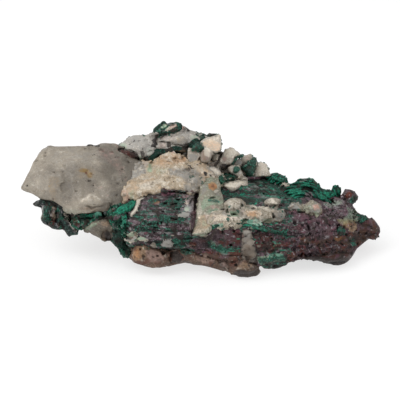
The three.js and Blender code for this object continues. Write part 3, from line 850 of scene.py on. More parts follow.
def milky_block():
    body = Body("calcite_block", voxel=0.34, grow=0.45)
    body.soften(0.8, 2)

    def relief(points):
        cleavage = 0.3 * step(noise(points, 7, 4), 0.0, 0.16) + 0.2 * step(noise(points, 4, 9), 0.1, 0.2)
        return 0.5 * layers(points, 10, 1, 2) + (cleavage - 0.2) + 0.14 * layers(points, 2.4, 8, 3, 0.6)

    body.carve("""
    swell -0.9 0.8 4 33,166 34.6,160 36.6,155.4 39.4,151.6 43,148.4 47,146 54,147 50,166 34,182 24,186
    24,182 27,175.5 30.4,170
    swell -0.5 0.8 3 60,205 66,204 76,206 80,211 76,214.6 72,216.2 69,217.8 66,217.8 64,215 62.6,211
    """)
    body.raise_by(relief)
    body.carve("""
    swell 1.3 0.9 78,203 81,199.4 85,197 89.5,195.2 94,196 99,199 104,201.6 107,203.6 101,205.4 92,206
    84,205.6
    swell 0.5 1.4 88,206 100,205.6 108,203.4 115,204 118,208 114,211 104,212.6 95,212.6 88,211
    swell 0.5 1.2 66,204 74,200 80,203 80,210 72,215 66,215
    dig 0.15 0.8 84,205.8 92,206.4 100,206 104,205 104,206.4 98,207.6 90,208 85,207.2
    dig 0.12 3 0 60,184 66,182 71,186 73,194 70,199 65,196 61,190
    dig 2.4 0.3 116.6,148.6 122,148 130,149 136,152 139.6,157.6 140,161.4 133,158.6 126,155.2 118,151.6
    """)
    body.pit(260, (0.5, 1.2), 0.55)
    body.scatter(160, (0.4, 1.0), sink=0.5)
    body.carve("""
    trim 0.4 20,188.6 24,181.5 27,175.5 30,170 32,165.5 33.5,160.5 36,155.5 39,151.5 42,148.5 46,146
    50,145.2 55,146.4 65,146.3 75,146 85,146 97,145.5 100,143.6 104,142.6 110,143.3 118,142.6 126,139
    150,139 150,208 113.5,209 112,212 105,212.5 100,211 94,212.5 88,213 82,213.5 76,214.5 72,216 69,217.5
    66,217.5 64,215 63,211 62.5,208 60,205.5 57,203.2 54,201.3 50,200.2 44,200 40,199 38,197.2 34,194.8
    30,193 24,191.6 20,190.2
    grain -0.3 dark 90,145.8,3.2,1.7,0 96.5,146.6,2.2,1.3,0
    """)
    body.soften(0.45, 1)

    def also(made, points, facing, base):
        plus(made, "dark", 0.8 * step(points[:, 0], -48, -30) * patches(points, 1.2, 0.012, 5, 0.02))
        # painted shade: browner, in patches, on faces that look down
        plus(made, "brown", 0.5 * step(-facing[:, 2], 0.3, 0.8) * patches(points, 5, 0.5, 9))
        made["light"] = made["light"] + 0.45 * layers(points, 5, 21, 3) + 0.25 * layers(points, 1.8, 22, 2)
        plus(made, "pink", 0.6 * patches(points, 3, 0.12, 14, 0.1) * step(points[:, 0], -40, -25))

    # The light entries are painted light and shade: lighter at the top left, along the top and on the fold's
    # rim, darker at the right, in the middle and under the lower right edge. The pale line along the fold's
    # rim is a painted highlight, the brown at 78-113, 206-212 a painted shade under the fold, and the dark
    # along the dug crevice at 119-139, 151-160 a painted shadow.
    stains = """
    ochre 1 84,170.5,2.4 88,174,2.6 50.5,186,1.6 1 78.5,169.6 83,168 90,169.5 90,172 93,173 92,178 88,178
    85,173.5 80,172 0.35 72,170 82,164 92,165 97,172 96,179 84,180 75,177 0.45 48,178 52,175 60,177 62,184
    57,190 56,197 57,201 51,199 48.5,192
    brown 1 53.5,198,1.6 52.5,194,1.2 51,186,1.1 118,193,1.5 104.5,173.5,0.9 0.75 78,207.5 90,206.5 96,208
    104,208.5 113,206 113,211 104,212 96,211 88,210.5 80,210
    rust 1 104,152,1.6 90,145,2.2 112,152.6,2 118,158,1.6 121,163,1.8 116,169,1.4 108,158,1.6 97,156,1.4
    122,171,1.6 90,208.8,1.4 113,208.5,1.4 85.5,173,1.6
    pink 1 107,156,2.4 111,154,2 100,151,2 117,166,2.4 0.5 97,148 104,147 112,150 119,156 122,163 124,173
    118,173 112,166 104,160 98,155
    light 0.5 18,190 30,166 40,146 84,146 76,160 46,170 34,190 -0.6 98,146 150,140 150,200 116,200 106,186
    -0.3 50,168 84,170 100,186 80,198 54,192 0.75 82,199 89.5,196 95,197 100,201 94,202.4 86,201 0.5 62,204
    84,202 104,205 92,209 70,216 0.3 60,150 100,150 100,164 70,162 -0.5 100,204 114,203 113,212 96,212 0.4
    98,182 112,184 108,198 96,194
    pale 0.6 79,203 81,199 85,196.6 89.5,193.8 94,194.6 99,197.6 104,200 104,202 98,200 93,197.8 90,197
    86,200 82,203.6 0.5 54,150 60,149 66,152 60,154 0.5 100,180 108,182 106,188 100,186
    mint 0.4 62,207 68,208 82,210 80,214 72,217 68,218 64,215 0.25 24,186 30,176 36,170 36,190 28,192
    dark 1 82,171,1.8 84.3,170.8,1.8 86.4,172.6,1.8 88,174.4,1.5 90,176,1.8 109,163.5,1.8 101,166,1.3
    101.6,168.5,1.2 126,159,1.5 128.5,164.5,1.6 127,180,1.8 66,158,0.8 71.5,203,0.9 120,171,1.2
    111.5,185,0.9 133,150,1 0.8 119,151.4 124,152 131,153.6 136,156 139,160 133,158.6 126,155.2
    """
    speckles = """
    ochre 0.7 9 0.14 3 back
    green 1 6 0.05 7 back
    grey 0.4 6 0.3 13 0.2
    pale 0.4 1.6 0.12 23 0.15
    """
    material = mineral(
        "milky_calcite", ("736b60", "8f877a", "b3aba0"), "5d554c",
        hollow_shade_strength=0.3, depth=0.04, rough=(0.3, 0.5), translucent=0.3, grit=0.3)
    build(body, material, stains, speckles, also=also, soft=2.6, glow=6.0)


def cream_saddle():
    body = Body("cream_calcite", grow=0.35, voxel=0.3)
    body.soften(0.8, 2)
    body.raise_by(waves((0.6, 6, 3, 2), (0.3, 2.2, 5, 3)))
    body.carve(f"""
    swell 0.5 1.2 133,163 140,160.5 147,160 150,163 146,168 150,172 144,174 138,177 132,178
    swell 0.9 1.6 153,162 160,156 168,152.6 173,152.3 178,155.5 184,155 187,158 185,164 178,167 168,168.5
    158,170 154,167
    swell 0.6 1.5 124,200 122,192 127,184 136,177.5 146,174 156,176 163,180 160,188 152,194 140,197 130,200
    swell 0.5 1.2 168,182 176,178.5 184,181 186,186 180,190 172,189
    swell 0.7 1 190,167 200,163 208,165 209,168.5 204,171.5 196,173 191,171
    dig 0.25 0.8 163,177.5 170,176.5 178,177.5 174,181 165,182
    dig 0.8 0.5 184,163 187,160 188.5,164 186,166.5
    dig 0.5 150,161 154,160 155,164 151,170 148,166
    dig 3 0.4 133,217 131,206 137,199 {PANEL_TOP} 184,217
    """)
    body.scatter(1900, (0.5, 1.3), sink=0.5)
    body.scatter(3000, (0.35, 0.8), sink=0.3)
    body.pit(160, (0.5, 1.1), 0.3)
    rubble = "183,184 190,182 198,177 205,180 203,186 198,191 190,194 184,191"
    body.scatter(260, (0.6, 1.3), sink=0.1, where=lambda points, facing: area(points, facing, rubble))
    body.carve("""
    swell 0.9 0.5 dark 184.3,168.5 186,166.4 190,166.3 191.6,169 190,171.6 186,171.6
    grain 0 calcite 187,165.3,1.4,1.1,0 186,192.3,2.6,0.8,12 191,189.6,2.4,0.8,25
    grain 0.3 dark 203.5,174.6,3.4,2.6,0 209,176.6,2.2,1.8,0 213,178,2.4,1.4,0 188.4,168.8,4.4,3.4,0
    grain 0.1 malachite 145.6,171.5,1.8,1.5,0 149.8,171.5,1.8,1.5,0 184,190.4,2.4,0.8,30 190,186.4,3,0.8,15
    199.5,182.5,1.6,2.6,30 196,187.5,1.5,1.2,0 201,177.6,2,1.2,0
    """)
    body.soften(0.2, 1)

    def also(made, points, facing, base):
        plus(made, "grey", 0.7 * step(points[:, 0], -4, 4) * patches(points, 3, 0.5, 8))
        right = step(points[:, 0], -8, -2)
        plus(made, "green", np.maximum(right * 0.7, behind(facing)) * patches(points, 2.4, 0.1, 12, 0.06))
        plus(made, "brown", 0.7 * behind(facing) * patches(points, 3, 0.25, 15))

    # The brown at 163-178, 177-182, over the dug slot, is a painted shadow under a ridge of grains.
    stains = f"""
    orange 0.5 158,157 172,153 187,156 187,163 172,166 158,166 0.6 175,158 186,155.5 186.5,162 182,165
    177,163 0.4 153,162 160,156 170,153 178,156 176,166 166,168 156,168
    grey 0.95 130,163 140,160 147,160 150,163 146,168 147,173 140,176 132,180 128,182 0.95 168,168 178,167.5
    186,168 190,172 196,176 200,180 198,184 190,184 184,180 178,177 170,175 0.8 176,168 196,168 206,176
    200,186 186,184 0.8 207,166 222,170 220,180 208,176 0.8 {rubble}
    pink 1 172.5,153.5,3 128,199,3 0.8 122,190 126,188 130,191 131,196 134,201 126,202 121,196
    mint 1 148,163 152,164 152,172 147,172 0.6 128,191 134,190 135,199 129,201 0.5 154,167 170,168 166,174
    156,175
    brown 1 180,184,3 199,165,3 186,163,2 167.7,162.7,2 0.3 163,177.5 170,176.5 178,177.5 174,181 165,182
    0.6 128,182 132,180 128,190 122,192
    dark 1 167.7,162.7,1.4 186,163.6,1.8 130,200.5,1.2 187,187.6,1.4 192.5,186,1.2 198,183,1.4 0.85
    184.6,168.5 186,166.4 190,166.3 191.6,169 190,171.6 186,171.6
    pale 0.8 138,184 146,181 158,179 160,184 150,190 140,190 0.7 124,186 128,187 126,191 122,190
    """
    speckles = """
    peach 0.5 5 0.35 2
    pale 0.7 2 0.25 6
    dark 0.9 1.2 0.006 11 0.02
    """
    material = mineral(
        "cream_calcite", ("9d8c75", "b7a790", "d2c8ba"), "75654f",
        hollow_shade_strength=0.3, depth=0.07, rough=(0.5, 0.75), translucent=0.15)
    build(body, material, stains, speckles, also=also, soft=2.4)


def ridge():
    body = Body("back_ridge", grow=0.35, voxel=0.3)
    body.soften(0.7, 2)
    body.raise_by(waves((0.6, 4, 7, 2), (0.25, 1.6, 9, 3)))
    body.carve("""
    dig 1.8 0.5 117,149.2 122,149.2 130,149.6 134.6,151 138.4,154.2 140,159.6 134,159 128,157.6 122,155
    117.5,152.8
    swell 0.5 0.8 134,150 137,147 144,145.4 146,148 146.2,152 147,156 142,156.8 138,154.6
    dig 1.2 0.4 140,158.4 143,156.8 147,157.4 151,157 156,153.6 157,157.5 150,161 142,161
    0.8 166,141.6 170.6,142 171,147 167,147.6
    dig 0.5 0.25 159,135 163,133.6 170,133 180,131.5 180,132.6 171,134.2 164,135.4 160,137.2
    swell 0.5 0.7 127,139.5 130,136.6 133,137.6 135,141 131,143.5 127,142.5
    swell 0.9 0.8 145.4,148 149,146.6 153,147.8 155.4,150 153.6,153 151.4,156 148,157.2 146,154
    0.7 158,142.2 163,141.8 166.2,144 166.4,147.6 161,149.2 156.6,147.4
    swell 1 1.6 158.5,137.4 162,134.7 170,133.5 178,131.2 185,130.8 188.6,134 189,139 187,142.4 182,144.2
    176,143.6 170,141.6 163,141.3 159,139.8
    swell 0.9 0.5 138,155.2 142,155 144,158 142,160.5 138.6,160
    dig 1 0.25 158,140.8 163,141.4 170,142.4 176,144.2 182,144.9 188,142.8 189.4,144 183,146.6 176,146
    169,144.2 162,143 158,142.4
    0.7 159.4,136.4 162,134.2 170,132.8 178,130.8 184,130.2 184,131.4 178,132.2 170,134.2 163,135.8 160,138
    dig 0.4 0.3 130,143 134,141.4 140,140.4 148,139.4 148,140.6 140,141.8 134,143.4 130,144.6
    dig 0.6 0.25 149,145.8 154,147 156.4,150 154.4,153.6 155.6,153.8 157.6,150 155,146 149,144.8
    swell 0.4 0.8 145,136.6 150,134 154,131.4 158,132 158,138 150,139 145,139
    swell 0.6 0.9 179,127 183,125.6 187,127.2 190,130 195,131.8 200,133.4 203,135 198,137 188,136 180,132
    """)

    def grown_over(points, facing):
        return 0.8 * behind(facing) * patches(points, 5, 0.25, 8)

    body.scatter(700, (0.4, 1.0), kind="malachite", where=grown_over)
    body.scatter(260, (0.5, 1.2), sink=0.55)
    body.carve("""
    swell -0.5 0.4 iron 118,150 124,149.6 130,150.4 135.4,152.6 139,157 137,159 129,157.4 122,154.6
    swell 0.7 0.4 dark 156,134.3 160.4,133.8 158.4,138 156.2,141 158.4,144 155.4,146.4 150.8,147 149.8,145.5
    153.2,144 152,141 153.8,137.6
    swell 0.5 0.3 dark 133.2,140.6 135,138.4 137.4,138.8 135.4,141.6 133.4,142
    grain 0.2 dark 133.3,148.3,1.2,0.9,0 188,131,1.1,2,0
    """)
    body.soften(0.4, 1)
    # The light entries are painted light and shade on the ridge's lobes and crevices, and the dark along the
    # dug crevices is painted shade.
    stains = """
    pink 1 184,128,3 0.45 159,137 164,134.5 172,133.5 177,135 176,142 168,141 160,140 0.5 158,142 166,142
    166,148 158,149
    ochre 0.45 176,137 184,136 188,141 182,144 176,143 0.4 176,131 180,130 180,135 176,136
    mint 0.6 118,144 126,142 128,149 119,149 0.4 146,147.6 149,147 153,148.5 152,155 148,157 0.6 138,155
    143,155 143,160 138,160 0.6 190,136 200,133.6 198,138 191,140
    grey 0.6 134,141 146,138 152,141 148,147 140,150 0.5 118,145 132,144 134,150 120,150
    green 0.9 140,157.6 147,157.6 151,157 156,153.4 157,158 150,161 141,161 0.7 138,158 142,160 142,162
    138,161
    dark 1 155,141,2 156,136,2 149,159,1.5 1 118,150.6 121,150.4 121,152.4 118,152 0.7 130,151 135,152.4
    139,156 140,160.6 134,159 130,156 0.7 140,151 143,150 145,153 145,158 141,158 0.9 134,153 138,156
    138,159.5 134,158 0.9 166,142 171,142 171,147 167,147 0.8 140,157.6 146,157.8 146.6,160.4 141,160.4
    brown 0.6 152,139 158,136 158,146 151,146
    rust 0.9 120,150.4 128,150.6 134,153 137.6,156.6 136,159 128,156.6 122,153.6
    light 0.25 160,133 188,131 188,141 162,141 0.5 146,148 153,148 153,153 147,154 0.4 158,142 166,142
    165,148 158,148 -0.5 152,136 158,136 156,148 150,148 0.7 120,142 131,137 148,136 152,142 140,148 122,148
    -0.6 117,148 134,150 140,158 124,156 -0.4 128,141 136,139 138,144 130,146 0.4 160,136 172,134 176,138
    164,140 -0.4 176,139 190,138 188,144 176,144 0.5 190,134 198,132 198,136 190,138
    """
    speckles = """
    grey 0.6 4 0.35 2
    green 1 5 0.25 8 back
    ochre 0.6 6 0.12 10 back
    dark 0.8 1.4 0.015 11 0.03
    """
    material = mineral(
        "ridge_calcite", ("86817a", "a5a098", "c8c3bb"), "4b443c",
        hollow_shade_strength=0.5, depth=0.07, rough=(0.34, 0.55), translucent=0.25)
    build(body, material, stains, speckles)


# Crystals of the cluster: the height of the face in front, how deep it goes behind, its tilt right
# and up, and its outline.
CRYSTALS = """
1.1 5 0.1 -0.4 199,142.4 204,139 210,136.3 214,135.3 218,134.6 220.6,135.4 221,141 221.6,147 220,151
216,153.2 212,152 207,148 203,147 200,145
1 5 0.35 0.2 201,150 203,147 207,146.4 211,150 213,153 211,158 209,162.4 205,163.2 201,162.2 199.6,160
200.2,154
1 4 -0.2 0.1 187,151 188,147.5 191,145.3 196,146 200,152 200.4,156 198.3,160 196.4,163.5 191,164.6 188,162
187,156
0.9 3 0.3 0 212,156 216,153.4 220,154 219.4,158 217,161.3 214,161.8 211.6,160
0.6 3 0 -0.3 209,163 216,161.4 217.4,165 212,166.8 207,165.4
0.9 5 0.25 -0.15 216,167.4 219,160 222,155 225,149.5 229,148 234,148.3 235,150.5 238,151.5 239.6,154.5
237,156.6 234.5,157.6 233,161 231,164.4 226,165 222,166.4 218.4,168.6
0.7 4 0 0.2 241,158.6 243,156 247,155 250,153.6 252.2,155 252.3,158 250,161 246,162.8 242.4,161.8
0.2 3 0 0 236,160 240,158.6 243.4,162 241,166.4 236,165.4 232.6,165.2
0.8 4 0.3 -0.1 254.4,167 257,163.4 260,161.8 263,163 266,164.5 268,168 269.6,172 270.6,175.6 266,176.4
260,176.8 255,177.2 253.8,173
0.9 3 0.1 0 227.6,168 231,165.8 235,165.2 239.4,165.3 240.4,169 242.4,173 243.4,176.4 238,176.6 234,174.4
229.6,172
1 3 0.1 -0.2 208,170 210,167 214,166.6 218.4,169.3 221,172 222,174.4 219,177 214,176.3 209.6,174
"""


def cluster():
    body = Body("calcite_cluster", grow=0.0, voxel=0.27, pad=4.5)
    body.soften(0.8, 3)
    body.distance += 0.7
    for words, places in listed(CRYSTALS):
        height, deep, *tilt = map(float, words)
        body.swell(ring(places), height, round_by=0.5, deep=deep, wobble=0.4, tilt=tilt)
    body.carve("""
    swell 2.2 1.5 4 222.6,186 225,182.4 229,181.3 233,180.4 236,178.4 239,176.4 243,175.8 246.2,177.4
    247.7,181 248.2,185 245,186.6 242,185.7 240,187.2 237,189.7 233,191.2 229,190.7 226,188.7
    swell 0.9 1 3 237.4,179 240,176.6 243.4,175.6 246.4,177.2 248,181 248.2,185 245,186.6 242,185.6
    239.4,184
    swell 1.3 0.7 193,144.4 197,142.8 201.2,143.4 202.6,147 201,150 200,152.4 196,151.8 192,150.2 191,148
    swell 1.4 0.9 malachite 243,166 247,163 250,161.4 252,158.4 254,156.8 256.2,158 257.2,162 256,165
    254.6,169 254.2,173 252,176 249,175.4 247,172.4 243,170 241,168
    swell 1.9 0.7 malachite 233.3,168.6 236,166.4 239,167.3 240.2,170.5 238,172.8 235,173.8 233,171.6
    swell 2.2 0.8 3 malachite 219,177 222,174.4 226,172.8 229,174.6 233,176 236.3,176.8 235.4,179.7
    230,180.3 226,180.9 223,184.7 221,185.2 219,181 217,178.6
    swell 1.3 dark 220,166 223,163.9 226,164.4 228.2,165.5 226,168.7 223,169.7 219.8,168.7
    swell 0.6 0.4 malachite 230.4,164.6 233,161 236,156.2 240,154.2 244.4,154.6 242,157.3 238,158.4 236,161
    233,164.8
    swell 1.3 0.4 dark 219,153 221,151.3 224.2,153 223.4,155.6 221.3,156.4 219.4,160 217.3,164 215,166.8
    214,165 216.6,160
    """)
    body.raise_by(waves((0.1, 1.6, 9, 3)))

    def grainy(points, facing):
        shown = sum(area(points, facing, places) for _, places in listed("""
        1 193,144 202,143 202,150 200,152 192,150
        1 243,166 250,161 254,157 257,162 254,173 250,176 241,168
        1 218,178 222,174 236,177 230,181 222,185
        """))
        return np.maximum(shown, 0.25 * behind(facing) * patches(points, 5, 0.3, 8))

    body.scatter(420, (0.4, 0.9), sink=0.05, kind="malachite", where=grainy)
    body.scatter(240, (0.4, 0.9), sink=0.5)
    body.soften(0.15, 1)

    def also(made, points, facing, base):
        back = behind(facing)
        # painted shade: browner in the broad hollows and dark in the deep gaps between crystals; the brown
        # patches on the back are a stain
        plus(made, "brown", 0.8 * step(-base["swell"], 0.3, 1.6) + 0.6 * back * patches(points, 3, 0.2, 9))
        gap_shade = 0.9 * step(-base["swell"], 1.0, 2.6)
        plus(made, "dark", gap_shade + 0.8 * patches(points, 1.2, 0.012, 11, 0.03))

    # The light entries are painted light and shade on the crystals' faces, and the brown under the crystals
    # at 200-217, 162-167 is a painted shadow.
    stains = """
    peach 0.6 200,143 206,139.5 213,137.5 215,141 220,142 220.5,150 215,152 211,150 204,146
    orange 1 205.8,142.4,1.8 0.3 210,140 219,140 220,149 214,152 209,147
    pink 1 205.5,142.6,2.2 226,160,3.5 190.5,148,2 247,158,3 0.7 201,150 207,147 212,152 208,161 201,161
    pale 1 217,137.5,3 231,168,2.5 241,174,2.4 1 203,148 208,147.4 211,151 209,158 204,156 0.5 205,140
    213,136.6 219,136 219,140 210,142 0.7 223,152 228,149 234,149 238,153 232,158 225,157 0.8 224,184
    240,178 246,180 240,186 230,190 0.7 210,168 216,168 220,174 214,175 0.6 243,156 250,154.5 251,158
    245,160
    grey 1 215,158,3 212,164,4 238,162,3.4 0.9 188,154 198,155 196,162 190,163 0.6 204,155 206,147 209,150
    208,161 204,161
    ochre 0.5 203,149 206,149 206,161 202,161 0.4 226,151 231,152 228,158 224,157 0.4 256,168 262,164
    262,176 256,176
    green 1 226.5,166,2 0.85 192,144 202,143 202.6,150 200,152.6 191.6,150.4 1 233,168.6 236,166 239.4,167
    240.4,170.5 238,173.4 235,174 232.6,171.6 1 243,166 250,161 254,157 257,162 254,173 250,176 243,170 0.9
    231,164 236,156 244,154 238,160 234,165 0.5 212,157 217,154 219,156 215,160
    shade 0.5 191,143 203,142 204,150 200,153 191,151 0.6 243,168 250,164 252,176 246,174
    brown 1 245,165,3 0.9 192,144 202,143 202.6,150 200,152.6 191.6,150.4 1 240,166.5 243,168 247,172.5
    248.5,176 244,174.5 241,171 0.9 200,163 208,162 209,165.5 204,167 200,166 1 198,158 200.4,156 200.6,163
    198,165 0.8 208,163 217,162 217,166 208,167
    dark 1 221,183,2 201,164,1.6 0.9 219,153 222,151 224,153.5 221,157 217,164 215,167 0.7 241,163 246,163
    244,167 241,167 0.7 219.6,165.6 224,164.4 222,169.4
    light 0.5 201,148 207,147 211,151 208,157 202,156 -0.5 207,157 211,158 208,163 204,163 0.5 223,150
    234,149 236,154 226,158 0.5 258,163 264,163 268,170 260,174 0.4 225,182 243,177 247,181 238,186 227,188
    0.6 202,143 210,137 220,136 220,150 210,150 0.3 188,154 200,154 198,164 190,164
    mauve 1 217,178.4,2 0.8 238,187.5 243,185.6 248.4,186 249,190.6 243,191 238,190.6
    """
    speckles = """
    grey 0.5 3 0.3 2
    green 1 4 0.3 8 back
    """
    material = mineral(
        "cluster_calcite", ("978d7f", "b5ada1", "d4cdc4"), "453b32",
        hollow_shade_strength=0.55, depth=0.07, rough=(0.38, 0.6), translucent=0.2)
    build(body, material, stains, speckles, also=also)


def blade():
    body = Body("calcite_blade", grow=0.3, voxel=0.27)
    body.soften(0.7, 2)
    body.raise_by(waves((0.35, 4, 7, 2), (0.22, 1.2, 9, 3)))
    body.carve("""
    swell 0.5 1.3 203,184 207,181.2 211,180.2 216,181.4 219,186 221,191 223.6,197 224.6,202.5 221.4,206
    220,211 217,214 212,216 205,217 198,214 197.6,206 198.6,198 200.6,190
    0.6 197,214 205,215 213,214 218,217 213,222 211,229 207,233 200,234 193,234.6 192,231.6 195,227
    196.4,220
    """)

    def lower(points, facing):
        return step(-points[:, 2], -15, -12) * 0.8 + 0.25

    body.scatter(600, (0.4, 1.1), sink=0.4, where=lower)
    body.carve("""
    dig 0.5 0.3 208.6,198 212,196.4 216.4,197.6 214,199 210,199
    8 186,235.6 193,235 200,234.4 207,233.8 211,231.4 213,226.4 217,222.4 226,221 226,256 186,256
    grain 0 dark 206.8,193.6,1.2,1,0 207.2,196.6,1.2,1,0
    grain 0 calcite 206.6,195.2,0.9,0.6,0
    """)
    body.soften(0.25, 1)

    def also(made, points, facing, base):
        plus(made, "peach", 0.4 * patches(points, 2.4, 0.5, 5) * step(-points[:, 2], -15, -11))

    # The light entries are painted light and shade on the blade's faces.
    stains = """
    orange 1 208,184 212,181.8 216.4,184.4 217,188.4 213,190.6 209,189
    rust 0.75 210.5,184.6 213,183.6 215,185.6 213.6,188 211,187.6
    mint 0.7 203,199 210,198 216,199 223,201.6 221,204.6 214,205 208,206 203,212 200,208 0.8 208,209
    218,208.6 218,214 208,214
    green 1 206.6,208.6,1.4 0.75 208,199 214,199 221,201.6 219,203.4 212,202.6 208,202 0.6 209,209.6
    216,209.6 214,212 209,212 0.7 208.6,198 212,196.4 216.4,197.6 214,199.4 210,199.4
    pink 0.7 208.6,204 218,205 220,209 212,209 0.8 203,214 214,214.6 220,216 214,220 206,221
    peach 0.55 198,216 206,214 214,216 212,224 204,233 193,233
    tan 0.5 206,218 212,218 208,226 202,230
    taupe 0.6 200,192 204,184 208,186 206,200 200,206 0.5 212,192 220,192 223,200 214,199
    pale 1 216,192,3 0.6 197.6,206 200,200 203,212 200,220 197,218 0.5 192,230 200,228 208,229 204,235
    192,235 0.6 204,212 216,212 216,220 206,222
    grey 0.6 203,184 208,183 206,192 200,197 0.6 215,190 219,191 222,198 216,196
    dark 1 214,180.6,1.6 222.4,209,2
    light 0.15 196,214 216,213 214,222 205,234 191,234 0.4 204,190 208,192 206,200 201,204 -0.5 214,188
    220,190 224,202 216,198 0.4 198,206 204,212 202,220 197,218 -0.4 208,212 220,214 216,222 210,220
    """
    speckles = """
    mint 0.5 2.6 0.3 2
    """
    material = mineral(
        "blade_calcite", ("6f6c5b", "908d7d", "b2afa1"), "5a5748",
        hollow_shade_strength=0.4, depth=0.07, rough=(0.4, 0.6), translucent=0.2)
    build(body, material, stains, speckles, also=also)


def ledge():
    body = Body("calcite_ledge", grow=0.3, voxel=0.27)
    body.soften(0.6, 1)
    body.raise_by(waves((0.35, 3.2, 7, 2), (0.14, 1.2, 9, 2)))
    body.carve("""
    swell 0.5 0.6 2 1.6 226,203 228,200 231,200 235,198.8 239.4,199 241.4,203 241.2,208 238,211 232,210
    227,208
    swell 0.7 0.8 240,205 244,204.4 247,206 252,204.4 257,206 261,206.6 260,210 254,211 246,212 241,210
    0.8 259,207 263,204.4 266.4,206 270.4,208.5 271.8,211.6 268,213 262,212
    swell 0.8 1.2 246,213 254,210 262,212 268,214 271,219 266,222 260,219 252,217
    swell 0.7 0.9 214,218 222,214 232,216 242,217 240,220 230,221 220,222 214,221.6
    swell 0.7 0.8 274.6,214 277,211.2 281,210.8 284.4,213.5 286.4,216.6 285,220.4 280,219.4 275.4,219.4
    dig 0.9 0.3 249.6,208 254,207.2 256.6,209 252,210.6
    dig 0.9 0.4 224,208 228,209 229,213 225,214
    dig 0.7 0.3 271.4,212 274,213 275,218 272,219
    dig 1.6 0.5 240,203 243,204.2 243,208 240.6,207
    1.6 257.6,207 259.4,206.6 260.4,210 257.6,210.4
    1.6 229,214 234,213 238,215 232,216.6
    1.6 243,217.4 250,218.4 250,222.6 243,222
    1.6 263,196 292,196 292,210.6 272,210.6 267,206
    0.9 262,221 270,217.6 273,219 272,224 262,224
    swell 1.6 0.5 dark 229,227.3 231.5,221 233.4,225 234.5,228.4 230,228.9
    swell 0.5 0.5 246,221 250,220 256,218.6 261,220.6 263,225 258,227 252,225 247,224
    """)
    body.scatter(300, (0.5, 1.1), sink=0.5)
    body.scatter(400, (0.35, 0.7), sink=0.4)
    body.pit(200, (0.5, 1.0), 0.2)
    body.soften(0.4, 1)

    def also(made, points, facing, base):
        plus(made, "mint", 0.8 * step(-base["swell"], 0.0, 1.2))

    # The light entries are painted light and shade: lighter on the upper lumps, darker at the right end and
    # beside the notches.
    stains = """
    pale 0.6 226,203 228,200 235,199 240,199.6 241,207 236,210 229,208 0.65 214,216 222,213.6 232,216
    242,216.6 242,220 228,222 214,221 0.7 249,205 257,206 262,205 268,207 271,211 262,209 252,207 0.7
    222,218 236,218.6 240,220 228,221.4
    peach 0.8 246,210 256,211 262,214 258,218 248,217 243,213 0.6 208,214 222,214.6 230,217 222,220.6
    208,222
    orange 0.55 247.6,212.4 252,210.6 257,212 256,216 250,216.4 0.4 256,209 262,210 260,215 256,214
    pink 1 243.6,212,2 0.6 222,215 240,216 240,220 228,221
    teal 1 246,220 256,218.4 262,221 264,226 254,227.6 247,224.6 0.8 210,225 222,222.6 224,227 212,229 0.6
    240,218 246,219 246,223 240,222
    mint 1 230,211 238,211 238,216.6 230,216.6 0.5 262,218 270,219 268,224 262,223
    green 1 227,212,1.6 0.8 235,208 239,210 239.6,214 237,213 0.6 254,216 260,217.6 260,220.6 254,219
    dark 1 226.6,212,1.6 244,206.4,1 247,206.6,0.8 223,210,1.6 0.8 249.6,208 254,207.2 256.6,209 252,210.6
    0.7 271.6,213.6 276,215 276,218 272,219
    light 0.2 206,214 224,214 244,217 240,222 208,224 -0.5 272,210 287,210 287,221 272,221 -0.5 232,208
    241,206 241,212 234,214 0.4 250,205 268,207 268,210 252,210 0.4 222,218 240,218 240,221 224,222 -0.5
    240,208 248,208 246,214 240,214
    grey 0.8 272,212 285,210.6 287,219 276,221
    brown 0.6 241,212 247,212 246,216 241,216 0.6 276,217 286,217 285,221 277,220.6
    """
    speckles = """
    grey 0.6 3 0.4 21
    peach 0.4 3 0.3 2
    pale 0.6 2 0.3 6
    green 0.9 2 0.04 12 0.05
    dark 0.8 1.2 0.02 11 0.04
    """
    material = mineral(
        "ledge_calcite", ("7d7363", "9d9484", "c3bcaf"), "4f4538",
        hollow_shade_strength=0.5, depth=0.08, rough=(0.5, 0.75), translucent=0.15)
    build(body, material, stains, speckles, also=also)


def tooth():
    body = Body("calcite_tooth", grow=0.25, voxel=0.25)
    body.soften(0.4, 1)
    body.raise_by(waves((0.2, 2.4, 7, 2), (0.1, 1.0, 9, 2)))
    body.carve("""
    swell 0.8 1.2 303,207 306,204.6 312,204.2 314,202 318,201.8 320.6,203.4 321,208 320.6,213 319,216.8
    316,216.6 313,214 308,212.6 304,210.6
    dig 4 0.3 286,211 302,211.6 306,213 306,218 286,218
    4 298,201 304,202 302.6,206 299,204.6
    swell 0.7 0.7 287,206.6 290,204 294,203.4 298,205 301,208.6 301,211 296,209.6 291,208.6 288,208.8
    """)
    body.scatter(200, (0.4, 1.0), sink=0.35)
    body.soften(0.2, 1)
    # The light entry is painted light on the tooth's right lump.
    stains = """
    orange 0.45 314,204.4 319,204 320,208 316,210 313,208
    pink 1 312.6,205 318,203 320,209 314,211
    mint 0.45 303,206 312,204.6 313,209 306,212 303,210 0.6 313,211 320,212 319,217 315,216
    light 0.5 303,204 320,202 320,212 304,210
    grey 1 286,205 294,203 302,209 292,211
    green 1 286,211,1.6 0.7 298,208 303,209 301,212 297,211
    pale 0.6 288,205.6 293,203.8 296,205.4 291,207
    """
    speckles = """
    grey 0.7 2.4 0.4 2
    brown 0.8 1.6 0.2 3 0.06
    """
    material = mineral(
        "tooth_calcite", ("6b6556", "898374", "aea89a"), "4b4838",
        hollow_shade_strength=0.5, depth=0.08, rough=(0.45, 0.65), translucent=0.15)
    build(body, material, stains, speckles)


